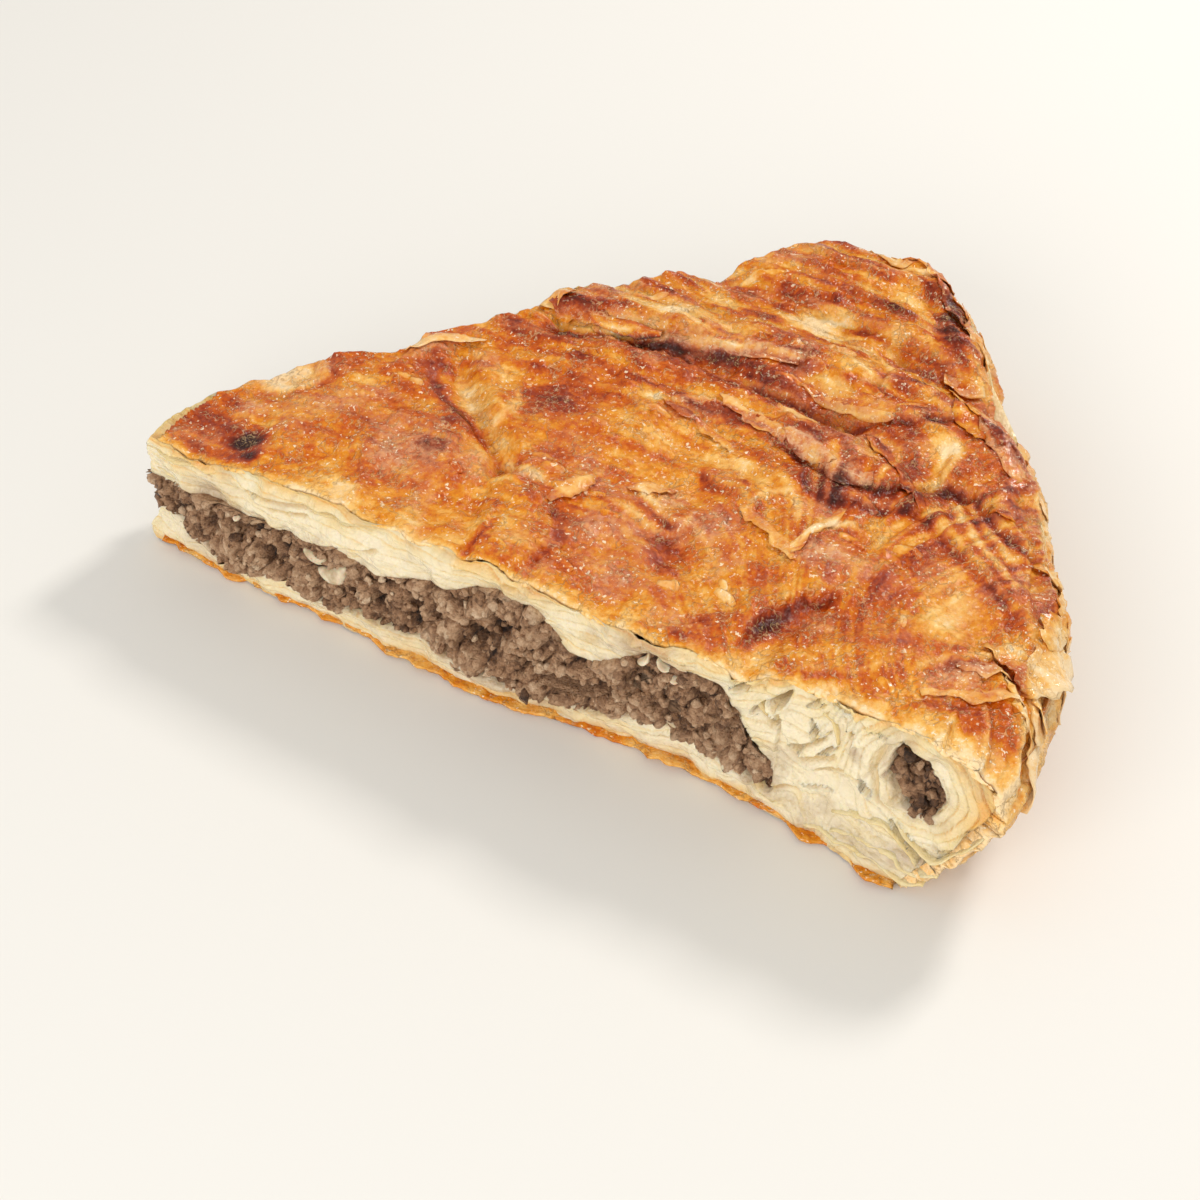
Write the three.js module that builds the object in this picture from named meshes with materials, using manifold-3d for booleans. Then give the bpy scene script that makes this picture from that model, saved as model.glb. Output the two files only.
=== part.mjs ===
// A wedge cut from a round meat borek.
// Thin pastry leaves, baked brown on top, lie above and below a slab of minced meat that runs through
// from cut to cut and out at the blunt tip. Towards the outer edge the leaves roll over, and a second,
// narrow run of meat lies inside that roll. A piece of onion sits in the meat at the front cut.
//
// Millimetres, +Z up. +X runs along the middle of the wedge from the tip to the outer edge,
// -Y is the front cut and +Y the back cut. Plan sizes are measured from the point where the lines of
// the two cuts would meet, just beyond the tip. At the end the group is moved so that the origin is
// the middle of the base.
import * as THREE from "three";
import { mergeVertices } from "three/addons/utils/BufferGeometryUtils.js";
import Module from "manifold-3d";

const { degToRad, lerp, smoothstep, clamp } = THREE.MathUtils;
const wasm = await Module();
wasm.setup();
const { Manifold } = wasm;

// ---- Driving dimensions ----

const HALF_ANGLE = degToRad(25.65); // from the middle line to each cut
const GAP = 0.3; // between neighbouring pieces
const RIM_ROLL = 16; // how far in from the outer edge the top starts to round over
const RIM_SHOULDER = 0.82; // share of the height where the rounded top meets the side

// Outer edge: plan radius in millimetres at an angle in degrees, at its widest height.
const rimRadius = curveThrough([
  [-26, 213], [-20, 214], [-14, 210], [-7, 205], [0, 200.5], [4, 197.5], [6.2, 193.5], [9, 194.5],
  [14, 195.5], [18, 195.5], [21.5, 191.5], [24, 184], [26, 174],
]);
// How far the outer edge draws in below and above its widest height, by share of the height.
const rimProfile = curveThrough([
  [0, -17], [0.17, -12.8], [0.33, -8.2], [0.5, -5], [0.66, -2], [0.8, 0], [0.92, -0.6], [1, -2.5],
]);
// Blunt tip: plan radius by share of the height, drawn in where the meat shows.
const tipProfile = curveThrough([[0, 11.5], [0.1, 10], [0.35, 13.5], [0.6, 11.5], [0.8, 13], [1, 15.5]]);
const TIP_SLANT = 9; // the tip is cut back this much more at the back cut

const CROWN = 37; // height of most of the top
// Height of the top by plan radius, before folds and lumps.
const crownHeight = curveThrough([[8, 31.5], [30, 32.5], [55, 35], [95, 36.5], [140, 37], [170, 38], [230, 37.5]]);

// How far each cut bulges out (+) or sits back (-) from a true plane, by distance from the tip:
// at its foot and at the edge of the browned top.
const frontFoot = curveThrough([
  [0, 0], [25, 2], [50, 1.4], [66, 0.6], [87, 1.4], [108, -2], [140, -3.4], [154, -2], [170, -1], [179, 1.6], [200, 0],
]);
const frontTop = curveThrough([[0, 0], [25, 0.7], [95, 0], [143, -0.5], [160, -3.5], [200, -3.5]]);
const backFoot = curveThrough([
  [0, -1], [35, -0.5], [48, -3], [58, -2.2], [75, 1.8], [88, 2.6], [105, 1], [115, -1.6], [126, 1.2], [140, 2], [170, 0],
]);
const backTop = curveThrough([
  [16, -3], [22, -1.3], [40, -2.3], [57, -4.5], [62, -0.8], [78, -1.3], [90, -1.3], [95, 1.8], [112, 0], [121, 0.5],
  [127, -2.6], [140, 0], [157, 1.6], [172, -1],
]);

// Slab of meat: its upper and lower face by distance from the tip.
const MEAT_END = 156;
const MEAT_END_SLANT = 16; // it stops this much sooner at the back cut
const meatTop = curveThrough([
  [0, 19], [12, 20.5], [40, 20.5], [50, 23], [58, 20.5], [72, 24], [84, 27.5], [90, 29.5], [101, 30], [110, 22],
  [116, 22.5], [128, 31], [140, 31.5], [147, 27.5], [151, 19.5], [157, 12],
]);
const meatBottom = curveThrough([
  [0, 12], [12, 7.5], [24, 4.5], [36, 9.5], [45, 6.5], [60, 7], [75, 8], [92, 5.5], [103, 5.5], [112, 6],
  [130, 13.5], [142, 10], [151, 9], [157, 8],
]);
const MEAT_DIP = 1.5; // the upper face lies this much lower away from the cuts
const TIP_LINE = 10.9; // plan radius where distances along a cut start
const FACE_SETBACK = 1.4; // the core of the meat stops this far behind the cuts, and crumbs stand on it
const PAST_CUT = 8; // the holes for the meat run this far out through each cut

// Run of meat in the rolled edge: plan radius and height of its middle line by angle in degrees.
const rollRadius = curveThrough([[-26, 198.4], [-14, 191], [0, 184], [12, 179], [21, 175], [26, 162]]);
const rollHeight = curveThrough([[-26, 26], [-16, 23], [0, 21], [26, 21]]);
const ROLL_HALF = { width: 6.2, height: 7.8 };

// Folds of the top leaves: a curve in plan from a to c drawn towards b, its height (- is a crease), its half width.
const FOLDS = [
  { a: [73, 25], b: [79, 6], c: [90, -12], height: -2.8, width: 3.6 },
  { a: [79, 21], b: [85, 6], c: [92, -6], height: 1.4, width: 2.6 },
  { a: [94, 45], b: [128, 38], c: [158, 27], height: 2.4, width: 5.5 },
  { a: [95, 36], b: [132, 29], c: [160, 8], height: -2, width: 3.8 },
  { a: [108, 27], b: [142, 16], c: [168, -10], height: 1.8, width: 4.6 },
  { a: [150, 22], b: [166, 2], c: [188, -15], height: -1.8, width: 3.6 },
  { a: [126, 62], b: [150, 46], c: [170, 34], height: -2.4, width: 4.4 },
  { a: [170, 34], b: [184, 23], c: [198, 19], height: -2.8, width: 4.2 },
  { a: [174, 70], b: [183, 40], c: [195, 6], height: 1.8, width: 3.6 },
  { a: [143, -72], b: [146, -58], c: [157, -48], height: -2.6, width: 3.2 },
  { a: [165, -8], b: [186, -24], c: [200, -54], height: 1.5, width: 3.2 },
  { a: [158, -22], b: [180, -36], c: [192, -62], height: -1.4, width: 3.6 },
  { a: [88, -12], b: [84, -26], c: [86, -42], height: -1.6, width: 2.8 },
];
// Blisters (+) and dents (-): middle, half sizes, height.
const BLISTERS = [
  { at: [93, -30], half: [8, 11], height: 1.7 },
  { at: [110, -26], half: [9, 10], height: 1.5 },
  { at: [127, -28], half: [7, 11], height: -1.9 },
  { at: [58, -8], half: [18, 14], height: 1.4 },
  { at: [36, 13], half: [9, 6], height: -1.2 },
  { at: [152, 62], half: [18, 11], height: 0.4 },
  { at: [112, 50], half: [14, 6], height: 0.2 },
  { at: [168, -62], half: [13, 9], height: 1.6 },
];

// Small open pockets between the leaves of the front cut, past the end of the slab:
// distance from the tip, height, half length, half height, tilt in degrees, depth.
const POCKETS = [
  { along: 149, height: 31.5, length: 2.4, rise: 1.2, tilt: 18, depth: 4 },
  { along: 155.5, height: 31.5, length: 3, rise: 1.7, tilt: 50, depth: 5 },
  { along: 155.5, height: 26.5, length: 3, rise: 0.9, tilt: -48, depth: 4 },
  { along: 160, height: 22.3, length: 2.3, rise: 1.1, tilt: 35, depth: 4 },
  { along: 176, height: 20.2, length: 2, rise: 0.9, tilt: -35, depth: 4 },
  { along: 187.5, height: 11.5, length: 5.4, rise: 1.3, tilt: -42, depth: 6 },
];

// Loose leaf ends: place as angle in degrees and height, size out from the crust and along it, turn, lift.
const RIM_LEAVES = [
  { angle: -12, height: 24, out: 8.5, wide: 11, turn: -25, lift: 14 },
  { angle: -8.4, height: 27, out: 5, wide: 12, turn: 20, lift: 30 },
  { angle: -16.5, height: 18, out: 5.5, wide: 10, turn: 35, lift: 10 },
  { angle: -20, height: 26, out: 4.5, wide: 9, turn: -30, lift: 25 },
  { angle: -22.5, height: 12, out: 5, wide: 9, turn: 15, lift: -5 },
  { angle: -3, height: 22, out: 4, wide: 11, turn: -15, lift: 20 },
  { angle: 3, height: 15, out: 4, wide: 12, turn: 10, lift: 5 },
  { angle: 9, height: 23, out: 4, wide: 10, turn: 25, lift: 20 },
  { angle: 15, height: 17, out: 4.5, wide: 13, turn: -20, lift: 10 },
  { angle: 20, height: 25, out: 4, wide: 9, turn: 10, lift: 25 },
];
const LEAF_THICKNESS = 0.9;

const CRUMB_SIZES = [2.3, 3.4]; // radius of the smallest and largest crumb of mince
const CRUMB_SPACING = 5.1;
const ONION = { along: 51.5, height: 15.8, half: [3, 1.9, 2.3], tilt: 28 };

// Grid of the pastry: steps along the wedge, across it and up it.
const STEPS = { along: 46, across: 21, up: 8 };
const SLAB_STEPS = [30, 6, 1]; // the same for the slab of meat and for its hole
const ROLL_STEPS = 14;
const TRIM = 2; // the grid starts this far below the base and is cut off flat

// ---- Helpers ----

// A smooth curve through points [x, y] in order of x, as a function of x.
function curveThrough(points) {
  const slope = (i) => {
    const p = points[Math.max(i - 1, 0)];
    const q = points[Math.min(i + 1, points.length - 1)];
    return (q[1] - p[1]) / (q[0] - p[0]);
  };
  return (x) => {
    const last = points.length - 2;
    let i = points.findIndex((p) => p[0] > x) - 1;
    if (i === -2) i = last;
    i = clamp(i, 0, last);
    const [x0, y0] = points[i];
    const [x1, y1] = points[i + 1];
    const step = x1 - x0;
    const t = clamp((x - x0) / step, 0, 1);
    const t2 = t * t;
    const t3 = t2 * t;
    return (
      y0 * (2 * t3 - 3 * t2 + 1) + y1 * (3 * t2 - 2 * t3) +
      step * (slope(i) * (t3 - 2 * t2 + t) + slope(i + 1) * (t3 - t2))
    );
  };
}

// Smooth lumps between -1 and 1, with hills about one unit apart. Every run gives the same ones.
function lumps(x, y, seed = 0) {
  const at = (i, j) => {
    const s = Math.sin(i * 127.1 + j * 311.7 + seed * 74.7) * 43758.5453;
    return 2 * (s - Math.floor(s)) - 1;
  };
  const i = Math.floor(x);
  const j = Math.floor(y);
  const u = smoothstep(x - i, 0, 1);
  const v = smoothstep(y - j, 0, 1);
  return lerp(lerp(at(i, j), at(i + 1, j), u), lerp(at(i, j + 1), at(i + 1, j + 1), u), v);
}

// A repeatable stream of random numbers from 0 to 1.
function randomFrom(seed) {
  let state = seed;
  return () => {
    state = (state * 1664525 + 1013904223) % 4294967296;
    return state / 4294967296;
  };
}

// A closed geometry as a solid for joining and cutting.
function solidFrom(geometry) {
  const bare = geometry.clone();
  bare.deleteAttribute("normal");
  bare.deleteAttribute("uv");
  const merged = mergeVertices(bare, 1e-4);
  return new wasm.Manifold(
    new wasm.Mesh({
      numProp: 3,
      vertProperties: new Float32Array(merged.getAttribute("position").array),
      triVerts: new Uint32Array(merged.index.array),
    }),
  );
}

function geometryFrom(solid) {
  const mesh = solid.getMesh();
  const positions = new Float32Array(mesh.numVert * 3);
  for (let i = 0; i < mesh.numVert; i++) {
    positions.set(mesh.vertProperties.subarray(i * mesh.numProp, i * mesh.numProp + 3), i * 3);
  }
  const geometry = new THREE.BufferGeometry();
  geometry.setAttribute("position", new THREE.BufferAttribute(positions, 3));
  geometry.setIndex(new THREE.BufferAttribute(mesh.triVerts, 1));
  geometry.computeVertexNormals();
  return geometry;
}

// The largest of a solid's separate bodies: a crumb that touches nothing is dropped.
function largestBody(solid) {
  const bodies = solid.decompose().sort((a, b) => b.volume() - a.volume());
  return bodies[0];
}

// A box of unit size, with each of its points moved by place(u, v, w), which are 0 to 1 across the box.
function shapedBox(steps, place) {
  const box = new THREE.BoxGeometry(1, 1, 1, ...steps);
  const points = box.getAttribute("position");
  for (let i = 0; i < points.count; i++) {
    const p = place(points.getX(i) + 0.5, points.getY(i) + 0.5, points.getZ(i) + 0.5);
    points.setXYZ(i, p.x, p.y, p.z);
  }
  return solidFrom(box);
}

// ---- Form of the wedge ----

// Outward direction of the cut on a side: -1 is the front cut, 1 the back.
const cutNormal = (side) => new THREE.Vector3(-Math.sin(HALF_ANGLE), side * Math.cos(HALF_ANGLE), 0);

// How far a cut stands out from its plane, by distance from the tip and share of the height.
function cutBulge(side, along, share) {
  const [foot, top] = side < 0 ? [frontFoot(along), frontTop(along)] : [backFoot(along), backTop(along)];
  const leaves = 0.55 * lumps(along / 9, share * 11, 3 + side) + 0.4 * lumps(along / 4.5, share * 7, 5 + side);
  return lerp(foot, top, smoothstep(share, 0, 0.8)) + leaves;
}

function foldRelief(x, y) {
  const here = new THREE.Vector2(x, y);
  let relief = 0;
  for (const { a, b, c, height, width } of FOLDS) {
    const curve = new THREE.QuadraticBezierCurve(
      new THREE.Vector2(...a), new THREE.Vector2(...b), new THREE.Vector2(...c),
    );
    const near = Math.min(...curve.getPoints(16).map((p) => p.distanceTo(here)));
    relief += height * Math.exp(-((near / width) ** 2));
  }
  for (const { at, half, height } of BLISTERS) {
    const reach = ((x - at[0]) / half[0]) ** 2 + ((y - at[1]) / half[1]) ** 2;
    relief += height * Math.exp(-reach);
  }
  return relief;
}

// Height of the browned top at a plan point.
function topHeight(x, y) {
  const crown = crownHeight(Math.hypot(x, y));
  return crown + foldRelief(x, y) + 0.9 * lumps(x / 13, y / 13, 1) + 0.5 * lumps(x / 6, y / 6, 2);
}

// Outer edge at an angle and share of the height, with the wrinkles of its leaves.
function outerRadius(angle, share) {
  const arc = angle * 200;
  const wrinkles = 1.1 * lumps(arc / 11, share * 5, 7) + 0.7 * lumps(arc / 5, share * 9, 8);
  return rimRadius(THREE.MathUtils.radToDeg(angle)) + rimProfile(share) + wrinkles * (0.4 + 0.6 * share);
}

// Where the blunt tip starts, as a plan radius, at v across the wedge and share of the height.
const tipRadius = (v, share) => tipProfile(share) + TIP_SLANT * v ** 3;

// Plan point at v across the wedge from the front cut, moved to where the cuts really run.
// reach moves both cuts further out.
function planPoint(v, radius, share, reach) {
  const angle = lerp(-HALF_ANGLE, HALF_ANGLE, v);
  const along = radius - TIP_LINE;
  const point = new THREE.Vector3(radius * Math.cos(angle), radius * Math.sin(angle), 0);
  point.addScaledVector(cutNormal(-1), (cutBulge(-1, along, share) + reach) * (1 - v) ** 6);
  point.addScaledVector(cutNormal(1), (cutBulge(1, along, share) + reach) * v ** 6);
  return point;
}

// Point of the pastry at u along the wedge from the tip, v across it from the front cut and w up it.
function pastryPoint(u, v, w) {
  const angle = lerp(-HALF_ANGLE, HALF_ANGLE, v);
  const edge = outerRadius(angle, 1);
  const radius = lerp(tipRadius(v, w), outerRadius(angle, w), u);
  const point = planPoint(v, radius, w, 0);
  const roll = smoothstep(radius, edge - RIM_ROLL, edge);
  const rounding = lerp(1, RIM_SHOULDER, roll ** 1.7);
  point.z = lerp(-TRIM, topHeight(point.x, point.y) * rounding, w);
  return point;
}

// Point of the slab of meat, which here runs out past the tip and the cuts. grow widens it all round.
function slabPoint(u, v, w, grow) {
  const angle = lerp(-HALF_ANGLE, HALF_ANGLE, v);
  const along = lerp(2 - TIP_LINE, MEAT_END + grow, u);
  const radius = TIP_LINE + along - MEAT_END_SLANT * u * v ** 3;
  const inner = 1 - (2 * v - 1) ** 6;
  const sway = 1.1 * lumps(angle * 14, along / 30, 11) * inner;
  const low = meatBottom(along) + 0.7 * lumps(along / 7, angle * 20, 12) - grow + sway;
  const high = meatTop(along) + 0.7 * lumps(along / 6, angle * 20, 13) + grow + sway - MEAT_DIP * inner;
  const height = lerp(low, high, w);
  return planPoint(v, radius, height / CROWN, PAST_CUT).setZ(height);
}

// Middle line of the run of meat in the rolled edge, from share 0 at the front cut to 1 at the back.
function rollPoint(share) {
  const angle = lerp(-HALF_ANGLE, HALF_ANGLE, share);
  const radius = rollRadius(THREE.MathUtils.radToDeg(angle));
  const height = rollHeight(THREE.MathUtils.radToDeg(angle));
  return new THREE.Vector3(radius * Math.cos(angle), radius * Math.sin(angle), height);
}

// That run of meat as an oval section swept along its middle line, out past both cuts.
function rollRun(grow) {
  const section = new THREE.Shape();
  section.absellipse(0, 0, ROLL_HALF.height + grow, ROLL_HALF.width + grow, 0, 2 * Math.PI);
  const path = [];
  for (let i = 0; i <= 10; i++) path.push(rollPoint(i / 10));
  path[0].addScaledVector(cutNormal(-1), PAST_CUT);
  path[10].addScaledVector(cutNormal(1), PAST_CUT);
  const extrudePath = new THREE.CatmullRomCurve3(path);
  return solidFrom(new THREE.ExtrudeGeometry(section, { steps: ROLL_STEPS, curveSegments: 6, extrudePath }));
}

const slab = (grow) => shapedBox(SLAB_STEPS, (u, v, w) => slabPoint(u, v, w, grow));

// All that lies behind the faces of the cuts and the tip. The cores of both runs of meat end there.
function behindFaces() {
  return shapedBox([24, 2, 3], (u, v, w) => {
    const radius = lerp(tipRadius(v, w) + FACE_SETBACK, rollRadius(0) + RIM_ROLL, u);
    return planPoint(v, radius, w, -FACE_SETBACK).setZ(w * CROWN);
  });
}

// ---- Crumbs of mince ----

function crumb(centre, size, random) {
  const ball = new THREE.OctahedronGeometry(size, 0);
  ball.scale(lerp(0.8, 1.25, random()), lerp(0.8, 1.2, random()), lerp(0.75, 1.1, random()));
  ball.rotateX(random() * Math.PI).rotateZ(random() * Math.PI);
  return solidFrom(ball.translate(centre.x, centre.y, centre.z));
}

// Crumbs in rows over the slab's face at a cut, each kept inside the slab's upper and lower faces.
function slabCrumbs(side, random) {
  const crumbs = [];
  const first = side < 0 ? 4 : 4 + TIP_SLANT;
  const shortening = side < 0 ? 1 : 1 - MEAT_END_SLANT / MEAT_END;
  for (let along = first; along < MEAT_END - 4; along += CRUMB_SPACING) {
    const low = meatBottom(along) + 0.4;
    const high = meatTop(along) - 0.4;
    const rows = Math.max(1, Math.round((high - low) / CRUMB_SPACING));
    for (let row = 0; row < rows; row++) {
      const room = (high - low) / rows;
      const size = Math.min(lerp(...CRUMB_SIZES, random()), room * 0.58);
      const height = low + room * (row + 0.5) + lerp(-0.3, 0.3, random());
      const radius = TIP_LINE + along * shortening + lerp(-1.2, 1.2, random());
      const angle = side * HALF_ANGLE;
      const centre = new THREE.Vector3(radius * Math.cos(angle), radius * Math.sin(angle), height);
      const depth = cutBulge(side, along, height / CROWN) - size * lerp(0.45, 0.9, random());
      crumbs.push(crumb(centre.addScaledVector(cutNormal(side), depth), size, random));
    }
  }
  return crumbs;
}

// Crumbs in a ring, with one in the middle, over an end of the run of meat in the rolled edge.
function rollCrumbs(side, random) {
  const middle = rollPoint(side < 0 ? 0 : 1).addScaledVector(cutNormal(side), -CRUMB_SIZES[0]);
  const sideways = new THREE.Vector3(Math.cos(HALF_ANGLE), side * Math.sin(HALF_ANGLE), 0);
  const crumbs = [crumb(middle, CRUMB_SIZES[1], random)];
  const count = 6;
  for (let i = 0; i < count; i++) {
    const turn = (2 * Math.PI * (i + 0.4 * random())) / count;
    const centre = middle.clone().addScaledVector(sideways, 0.55 * ROLL_HALF.width * Math.cos(turn));
    centre.z += 0.55 * ROLL_HALF.height * Math.sin(turn);
    crumbs.push(crumb(centre, CRUMB_SIZES[0], random));
  }
  return crumbs;
}

// ---- Loose leaf ends ----

// A thin torn leaf lying outwards along +X from its root at the origin.
function tornLeaf(out, wide, random) {
  const outline = new THREE.Shape();
  const root = -4;
  outline.moveTo(root, -wide / 2);
  const teeth = 5;
  for (let i = 0; i <= teeth; i++) {
    const y = lerp(-wide / 2, wide / 2, i / teeth);
    outline.lineTo(out * lerp(0.45, 1, random()) * Math.cos((y / wide) * 2), y);
  }
  outline.lineTo(root, wide / 2);
  return new THREE.ExtrudeGeometry(outline, { depth: LEAF_THICKNESS, bevelEnabled: false });
}

function rimLeaf({ angle, height, out, wide, turn, lift }, random) {
  const leaf = tornLeaf(out, wide, random);
  leaf.rotateX(degToRad(turn)).rotateY(-degToRad(lift)).rotateZ(degToRad(angle));
  const radius = outerRadius(degToRad(angle), height / 27) - 0.5;
  leaf.translate(radius * Math.cos(degToRad(angle)), radius * Math.sin(degToRad(angle)), height);
  return solidFrom(leaf);
}

// A wedge-shaped pocket pushed into the front cut.
function pocket({ along, height, length, rise, tilt, depth }) {
  const bite = new THREE.OctahedronGeometry(1, 0);
  bite.scale(length, depth, rise).rotateY(degToRad(-tilt)).rotateZ(-HALF_ANGLE);
  const radius = TIP_LINE + along;
  const centre = new THREE.Vector3(radius * Math.cos(HALF_ANGLE), -radius * Math.sin(HALF_ANGLE), height);
  centre.addScaledVector(cutNormal(-1), cutBulge(-1, along, height / CROWN));
  return solidFrom(bite.translate(centre.x, centre.y, centre.z));
}

function onionSolid(grow) {
  const [a, b, c] = ONION.half;
  const ball = new THREE.SphereGeometry(1, 10, 6);
  ball.scale(a + grow, b + grow, c + grow).rotateY(degToRad(ONION.tilt)).rotateZ(-HALF_ANGLE);
  const radius = TIP_LINE + ONION.along;
  const centre = new THREE.Vector3(radius * Math.cos(HALF_ANGLE), -radius * Math.sin(HALF_ANGLE), ONION.height);
  centre.addScaledVector(cutNormal(-1), cutBulge(-1, ONION.along, ONION.height / CROWN) + 0.4);
  return solidFrom(ball.translate(centre.x, centre.y, centre.z));
}

// ---- Pieces ----

function pastry() {
  const random = randomFrom(31);
  const body = shapedBox([STEPS.along, STEPS.across, STEPS.up], pastryPoint);
  const leaves = RIM_LEAVES.map((leaf) => rimLeaf(leaf, random));
  const below = solidFrom(new THREE.BoxGeometry(500, 500, 20).translate(100, 0, -10));
  const holes = Manifold.union([slab(GAP), rollRun(GAP), below, ...POCKETS.map(pocket)]);
  return Manifold.union([body, ...leaves]).subtract(holes);
}

function meatLayer() {
  const random = randomFrom(17);
  const form = Manifold.union([behindFaces(), ...slabCrumbs(-1, random), ...slabCrumbs(1, random)]);
  return largestBody(form.intersect(slab(0)).subtract(onionSolid(GAP)));
}

function meatRoll() {
  const random = randomFrom(23);
  const form = Manifold.union([behindFaces(), ...rollCrumbs(-1, random), ...rollCrumbs(1, random)]);
  return largestBody(form.intersect(rollRun(0)));
}

function piece(name, solid, colour, roughness) {
  const material = new THREE.MeshStandardMaterial({ color: colour, roughness, metalness: 0 });
  const mesh = new THREE.Mesh(geometryFrom(solid), material);
  mesh.name = name;
  return mesh;
}

const borek = new THREE.Group();
borek.add(piece("pastry", pastry(), 0xc9853a, 0.45));
borek.add(piece("meat_layer", meatLayer(), 0x7a6255, 0.7));
borek.add(piece("meat_roll", meatRoll(), 0x6f564b, 0.7));
borek.add(piece("onion_piece", onionSolid(0), 0xe6e4d2, 0.35));

const bounds = new THREE.Box3().setFromObject(borek);
const middle = bounds.getCenter(new THREE.Vector3());
borek.position.set(-middle.x, -middle.y, -bounds.min.z);

export default borek;
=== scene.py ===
"""A wedge of meat borek: baked pastry leaves round a slab of minced meat, rolled over at the outer edge.

Sizes are millimetres, +X from the blunt tip to the outer edge, -Y towards the front cut, +Z up. Plan places
are measured from the point where the lines of the two cuts meet, just beyond the tip. settle() turns a
finished mesh into the frame's metres.
"""

import math

import bmesh
import bpy
import numpy as np
from mathutils import Matrix, Vector


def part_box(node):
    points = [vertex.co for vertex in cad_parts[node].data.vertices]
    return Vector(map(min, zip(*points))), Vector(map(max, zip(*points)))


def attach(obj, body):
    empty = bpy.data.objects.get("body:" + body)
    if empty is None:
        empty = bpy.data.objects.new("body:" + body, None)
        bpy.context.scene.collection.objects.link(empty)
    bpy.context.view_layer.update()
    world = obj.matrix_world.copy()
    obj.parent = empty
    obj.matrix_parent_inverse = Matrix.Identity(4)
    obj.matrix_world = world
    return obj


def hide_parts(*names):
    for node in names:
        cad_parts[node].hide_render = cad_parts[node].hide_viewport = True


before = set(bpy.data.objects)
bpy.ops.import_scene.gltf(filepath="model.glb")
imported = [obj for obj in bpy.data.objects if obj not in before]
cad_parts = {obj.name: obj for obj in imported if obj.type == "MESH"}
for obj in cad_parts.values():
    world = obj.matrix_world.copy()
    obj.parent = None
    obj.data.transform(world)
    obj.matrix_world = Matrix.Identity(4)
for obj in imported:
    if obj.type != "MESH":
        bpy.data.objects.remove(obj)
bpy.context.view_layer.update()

# ---- Browned crust ----
# The outermost leaves of the pastry, baked brown and brittle over the top and round the rolled outer edge.
# A fine sheet is cut to the wedge, wrapped over the edge, creased like the real leaves and closed below.

HALF_ANGLE = math.radians(25.65)  # from the middle line to each cut
TIP_LINE = 10.9  # plan radius where distances along a cut start
TIP_SLANT = 9.0  # the tip is cut back this much more at the back cut
RIM_ROLL = 16.0  # how far in from the outer edge the top starts to round over
EDGE_DRAW = 2.5  # the upper edge lies this far in from the widest part of the rim
CROWN = 37.0  # height of most of the top


def mix(a, b, share):
    return a + (b - a) * share


def smooth(x, low, high):
    t = np.clip((x - low) / (high - low), 0, 1)
    return t * t * (3 - 2 * t)


def hill(x, width):
    return np.exp(-((x / width) ** 2))


def curve_through(*points):
    """A smooth curve through points (x, y) in order of x, as a function of x."""
    px, py = np.array(points, float).T
    last = len(px) - 1
    before = np.maximum(np.arange(last + 1) - 1, 0)
    after = np.minimum(np.arange(last + 1) + 1, last)
    slope = (py[after] - py[before]) / (px[after] - px[before])

    def curve(x):
        i = np.clip(np.searchsorted(px, x, side="right") - 1, 0, last - 1)
        step = px[i + 1] - px[i]
        t = np.clip((x - px[i]) / step, 0, 1)
        ends = mix(py[i], py[i + 1], t * t * (3 - 2 * t))
        return ends + step * (slope[i] * (t**3 - 2 * t**2 + t) + slope[i + 1] * (t**3 - t**2))

    return curve


def chance(i, j, seed):
    """A number from -1 to 1 that is always the same for whole numbers i, j and seed."""
    wave = np.sin(i * 127.1 + j * 311.7 + seed * 74.7) * 43758.5453
    return 2 * (wave - np.floor(wave)) - 1


def lumps(x, y, seed=0):
    """Smooth lumps between -1 and 1, with hills about one unit apart."""
    i, j = np.floor(x), np.floor(y)
    u, v = smooth(x - i, 0, 1), smooth(y - j, 0, 1)
    near = mix(chance(i, j, seed), chance(i + 1, j, seed), u)
    far = mix(chance(i, j + 1, seed), chance(i + 1, j + 1, seed), u)
    return mix(near, far, v)


def rough(x, y, size, seed, octaves=3):
    """Lumps of a size in mm with smaller lumps on them, turned between sizes so that no grid shows."""
    total = 0
    for k in range(octaves):
        total = total + lumps(x / size, y / size, seed + k) / 2**k
        x, y = 1.6 * x + 1.2 * y, 1.6 * y - 1.2 * x
    return total / (2 - 0.5 ** (octaves - 1))


def plates(x, y, size, seed):
    """Torn leaves side by side: each point's own leaf as a number, its place on it, how near the edge is."""
    x, y = x / size, y / size
    i, j = np.floor(x), np.floor(y)
    best = np.full(np.shape(x), 9.0)
    second, number, off_x, off_y = best.copy(), best * 0, best * 0, best * 0
    for a in (-1, 0, 1):
        for b in (-1, 0, 1):
            gap_x = x - (i + a + 0.5 + 0.45 * chance(i + a, j + b, seed))
            gap_y = y - (j + b + 0.5 + 0.45 * chance(i + a, j + b, seed + 1))
            gap = np.hypot(gap_x, gap_y)
            nearer = gap < best
            second = np.where(nearer, best, np.minimum(second, gap))
            best = np.where(nearer, gap, best)
            number = np.where(nearer, chance(i + a, j + b, seed + 2), number)
            off_x, off_y = np.where(nearer, gap_x, off_x), np.where(nearer, gap_y, off_y)
    return number, off_x, off_y, second - best


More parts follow.
